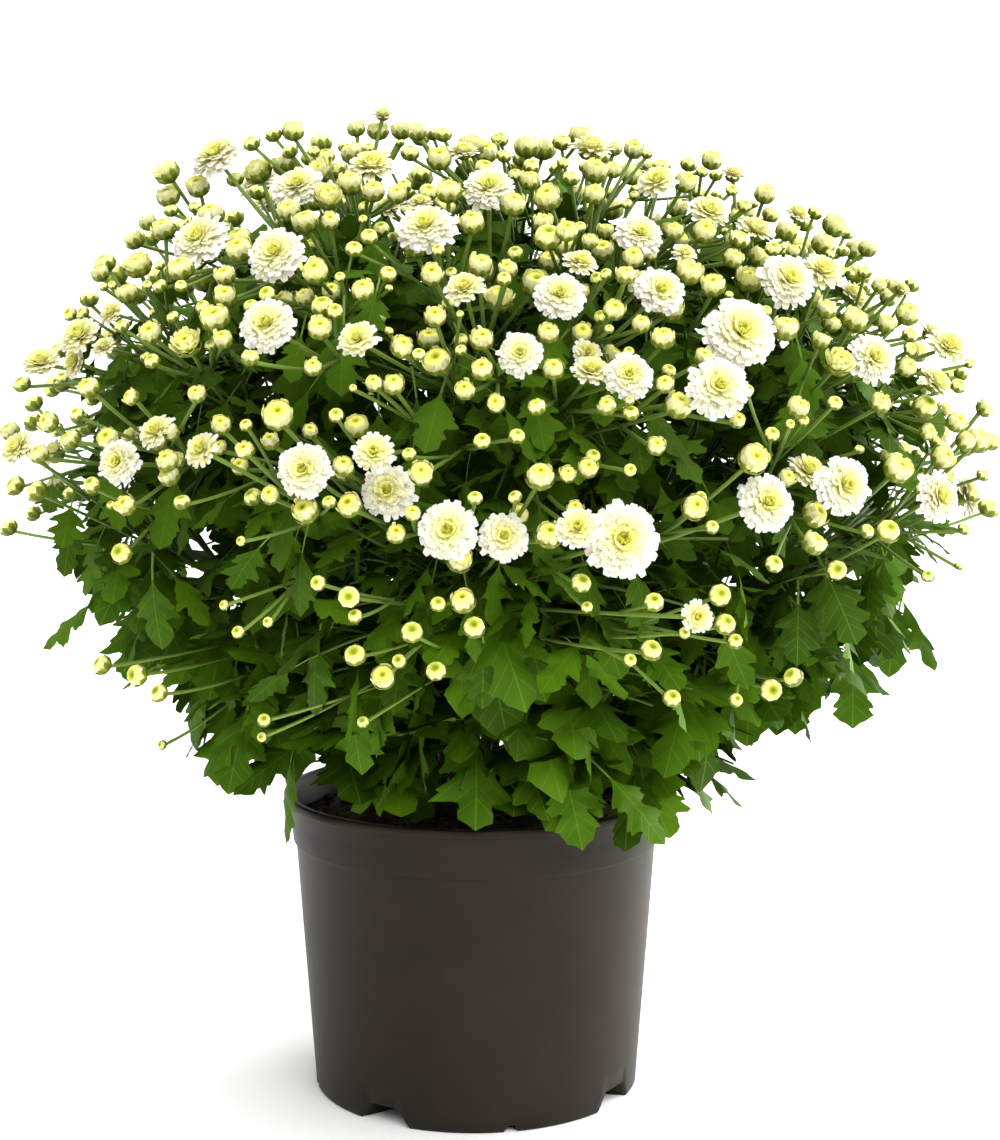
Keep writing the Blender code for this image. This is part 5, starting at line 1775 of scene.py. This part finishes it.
def stemMaterial():
    # Green stalks, paler on the thick stems, and darker bracts with papery edges. Stems, stalks and twigs
    # deep inside the plant are darkened as painted shade, and stalks darken towards their roots as painted
    # shade too.
    look = Surface("stem", 0.50)
    look.set("Specular IOR Level", 0.2)
    along, outer, mark, shade = look.marks()
    grain = look.noise(420.0)
    # painted shade: a stalk's green darkens towards its root, which lies inside the plant
    stalk = look.ramp(along, (0.0, 84, 110, 34), (0.6, 120, 146, 62), (1.0, 122, 148, 58))
    wood = look.ramp(along, (0.0, 94, 102, 58), (0.5, 98, 120, 54), (1.0, 92, 120, 44))
    bract = look.ramp(along, (0.0, 56, 78, 12), (0.60, 86, 104, 20), (1.0, 122, 130, 40))
    between = look.times(look.number("SUBTRACT", 0.0, outer), look.times(along, 0.6))
    bract = look.mixed(look.number("MAXIMUM", between, 0.0), bract, paint(186, 180, 84))
    colour = look.mixed(look.number("GREATER_THAN", mark, 0.5), wood, stalk)
    # painted shade: dark green where the depth mark says the part lies deep inside the plant
    colour = look.mixed(outer, paint(44, 62, 20), colour)
    colour = look.mixed(look.number("GREATER_THAN", mark, 1.5), colour, bract)
    look.bump(grain, 0.0003, 0.4)
    return look.finish(look.mixed(look.times(grain, 0.30), colour, paint(60, 82, 22)))


def potMaterial():
    # Satin moulded plastic, a warm dark grey with a faint mottle.
    look = Surface("nursery pot plastic", 0.48)
    look.set("Specular IOR Level", 0.14)
    look.bump(look.noise(900.0), 0.00012, 0.3)
    return look.finish(look.ramp(look.noise(22.0, 4.0, 0.6), (0.3, 28, 23, 15), (0.7, 34, 28, 20)))


def soilMaterial():
    # Near-black mix with reddish crumbs of bark.
    look = Surface("potting mix", 0.95)
    shade = look.marks()[-1]
    grain = look.noise(240.0, 5.0, 0.7)
    tone = look.number("ADD", look.times(grain, 0.7), look.times(shade, 0.3))
    look.bump(grain, 0.0015, 0.8)
    return look.finish(look.ramp(tone, (0.30, 22, 16, 12), (0.55, 58, 38, 26), (0.75, 98, 56, 34)))


def floorMaterial():
    # Nearly white, with a faint mottle.
    look = Surface("pale floor", 0.9)
    return look.finish(look.ramp(look.noise(1.5), (0.3, 253, 253, 253), (0.7, 255, 255, 255)))


# The world's light from in front of the plant and from behind it and its share on the left and on
# the right, between two values of a direction's coordinate, then the sun and the rim light
studio = {
    "front": 0.75,
    "back": 1.9,
    "left": 0.42,
    "right": 1.80,
    "span": (-0.5, 0.6),
    "sun": 3.0,
    "sunAngle": 60.0,
    "sunWay": Vector((-0.25, 0.75, -1.0)),
    "rim": 34.0,
    "rimPlace": Vector((1.5, 0.9, 0.35)),
    "rimTarget": Vector((0.0, 0.0, 0.12)),
    "rimSize": 1.1,
    "rimColour": (1.0, 0.95, 0.88),
    "floorSize": 30.0,
}


def setWorld():
    # White for the camera. Its light is full from behind the plant and dimmer from the front and
    # from the left: each share follows one of the direction's coordinates.
    world = bpy.data.worlds.new("studio")
    world.use_nodes = True
    nodes = Nodes(world.node_tree)
    background = nodes.tree.nodes["Background"]
    apart = nodes.add("ShaderNodeSeparateXYZ")
    nodes.feed(apart.inputs, nodes.add("ShaderNodeTexCoord").outputs["Generated"])
    shares = []
    for axis, first, last in ((0, studio["left"], studio["right"]), (1, studio["front"], studio["back"])):
        towards = nodes.add("ShaderNodeMapRange")
        sockets = [towards.inputs[name] for name in ("Value", "From Min", "From Max", "To Min", "To Max")]
        nodes.feed(sockets, apart.outputs[axis], *studio["span"], first, last)
        shares.append(towards.outputs["Result"])
    ray = nodes.add("ShaderNodeLightPath")
    strength = nodes.number("MAXIMUM", ray.outputs["Is Camera Ray"], nodes.times(*shares))
    nodes.feed([background.inputs[name] for name in ("Color", "Strength")], (1.0, 1.0, 1.0, 1.0), strength)
    bpy.context.scene.world = world


def addObject(name, data, place=(0.0, 0.0, 0.0)):
    # A new object in the scene.
    made = bpy.data.objects.new(name, data)
    bpy.context.scene.collection.objects.link(made)
    made.location = place
    return made


def addLight(name, kind, place, towards, **values):
    # A light at a place that shines along a direction, with its other values by name.
    lamp = bpy.data.lights.new(name, kind)
    for key, value in values.items():
        setattr(lamp, key, value)
    addObject(name, lamp, place).rotation_euler = towards.to_track_quat("-Z", "Y").to_euler()


def setStudio():
    # Pale floor, white surroundings, one soft sun from the upper front and a rim light behind.
    scene = bpy.context.scene
    scene.view_settings.view_transform = "Standard"
    setWorld()
    half = 0.5 * studio["floorSize"]
    corners = [(-half, -half, 0.0), (half, -half, 0.0), (half, half, 0.0), (-half, half, 0.0)]
    mesh = bpy.data.meshes.new("floor")
    mesh.from_pydata(corners, [], [(0, 1, 2, 3)])
    mesh.materials.append(floorMaterial())
    floor = addObject("floor", mesh)
    softness = math.radians(studio["sunAngle"])
    addLight("sun", "SUN", (0.0, 0.0, 0.0), studio["sunWay"], energy=studio["sun"], angle=softness)
    way = studio["rimTarget"] - studio["rimPlace"]
    lamp = {"shape": "SQUARE", "size": studio["rimSize"], "color": studio["rimColour"]}
    addLight("edge", "AREA", studio["rimPlace"], way, energy=studio["rim"], **lamp)
    camera = bpy.data.cameras.new("camera")
    camera.sensor_width = 36.0
    camera.lens = camera.sensor_width * viewFocal / (2.0 * viewMiddle[1])
    scene.camera = addObject("camera", camera, viewPoint)
    scene.camera.rotation_euler = (0.5 * math.pi - viewTilt, 0.0, 0.0)


def checkPlan(blooms):
    # The plan worked out here must be the one in the solids.
    worst = 0.0
    for number, head in enumerate(blooms, start=1):
        low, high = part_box(f"bloom_{number:02d}")
        worst = max(worst, (0.5 * (low + high) - head["point"]).length)
    print("the blooms' solids lie within", round(worst * 1000.0, 1), "mm of the plan")


def buildScene():
    # The plan first, then what grows on from it, then every piece, the light and the camera.
    stems, blooms = planPlant()
    checkPlan(blooms)
    shoots = planShoots(stems)
    room = growHeads(stems, shoots)
    poiseHeads(stems)
    twigs = growShoots(stems, room, shoots)
    growLeaves(stems, room)
    stemNodes = [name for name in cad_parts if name.startswith("leafy_stem")]
    bloomNodes = [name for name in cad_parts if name.startswith("bloom")]
    heads = [head for stem in stems for head in stem["heads"]]
    kinds = {kind: [head for head in heads if head["kind"] == kind] for kind in bractCups}
    print("heads:", {kind: len(found) for kind, found in kinds.items()})
    dressPot(potMaterial())
    dressSoil(soilMaterial())
    dressStems("stems_and_stalks", stems, twigs, stemMaterial(), stemNodes, 3)
    green = leafMaterial()
    for index, group in enumerate((stems[:6], stems[6:12], stems[12:]), start=1):
        leaves = [leaf for stem in group for leaf in stem["leaves"]]
        dressLeaves(f"leaves_{index}", leaves, green, stemNodes, 20 + index)
    white = petalMaterial("open petals", 0.16, 0.60)
    creamy = petalMaterial("small petals", 0.22, 0.80)
    dressHeads("open_blooms", kinds["bloom"], openBloom, white, bloomNodes, 5)
    dressHeads("small_blooms", kinds["smallBloom"], smallBloom, creamy, stemNodes, 6)
    closing = [head for head in kinds["halfOpen"] if head["radius"] <= largestButton]
    opening = [head for head in kinds["halfOpen"] if head["radius"] > largestButton]
    cream = halfOpenMaterial()
    dressHeads("closed_heads", closing, button, cream, stemNodes, 9)
    dressHeads("half_open_heads", opening, halfOpen, cream, stemNodes, 7)
    dressHeads("round_buds", kinds["bud"], bud, budMaterial(), stemNodes, 8)
    setStudio()


buildScene()
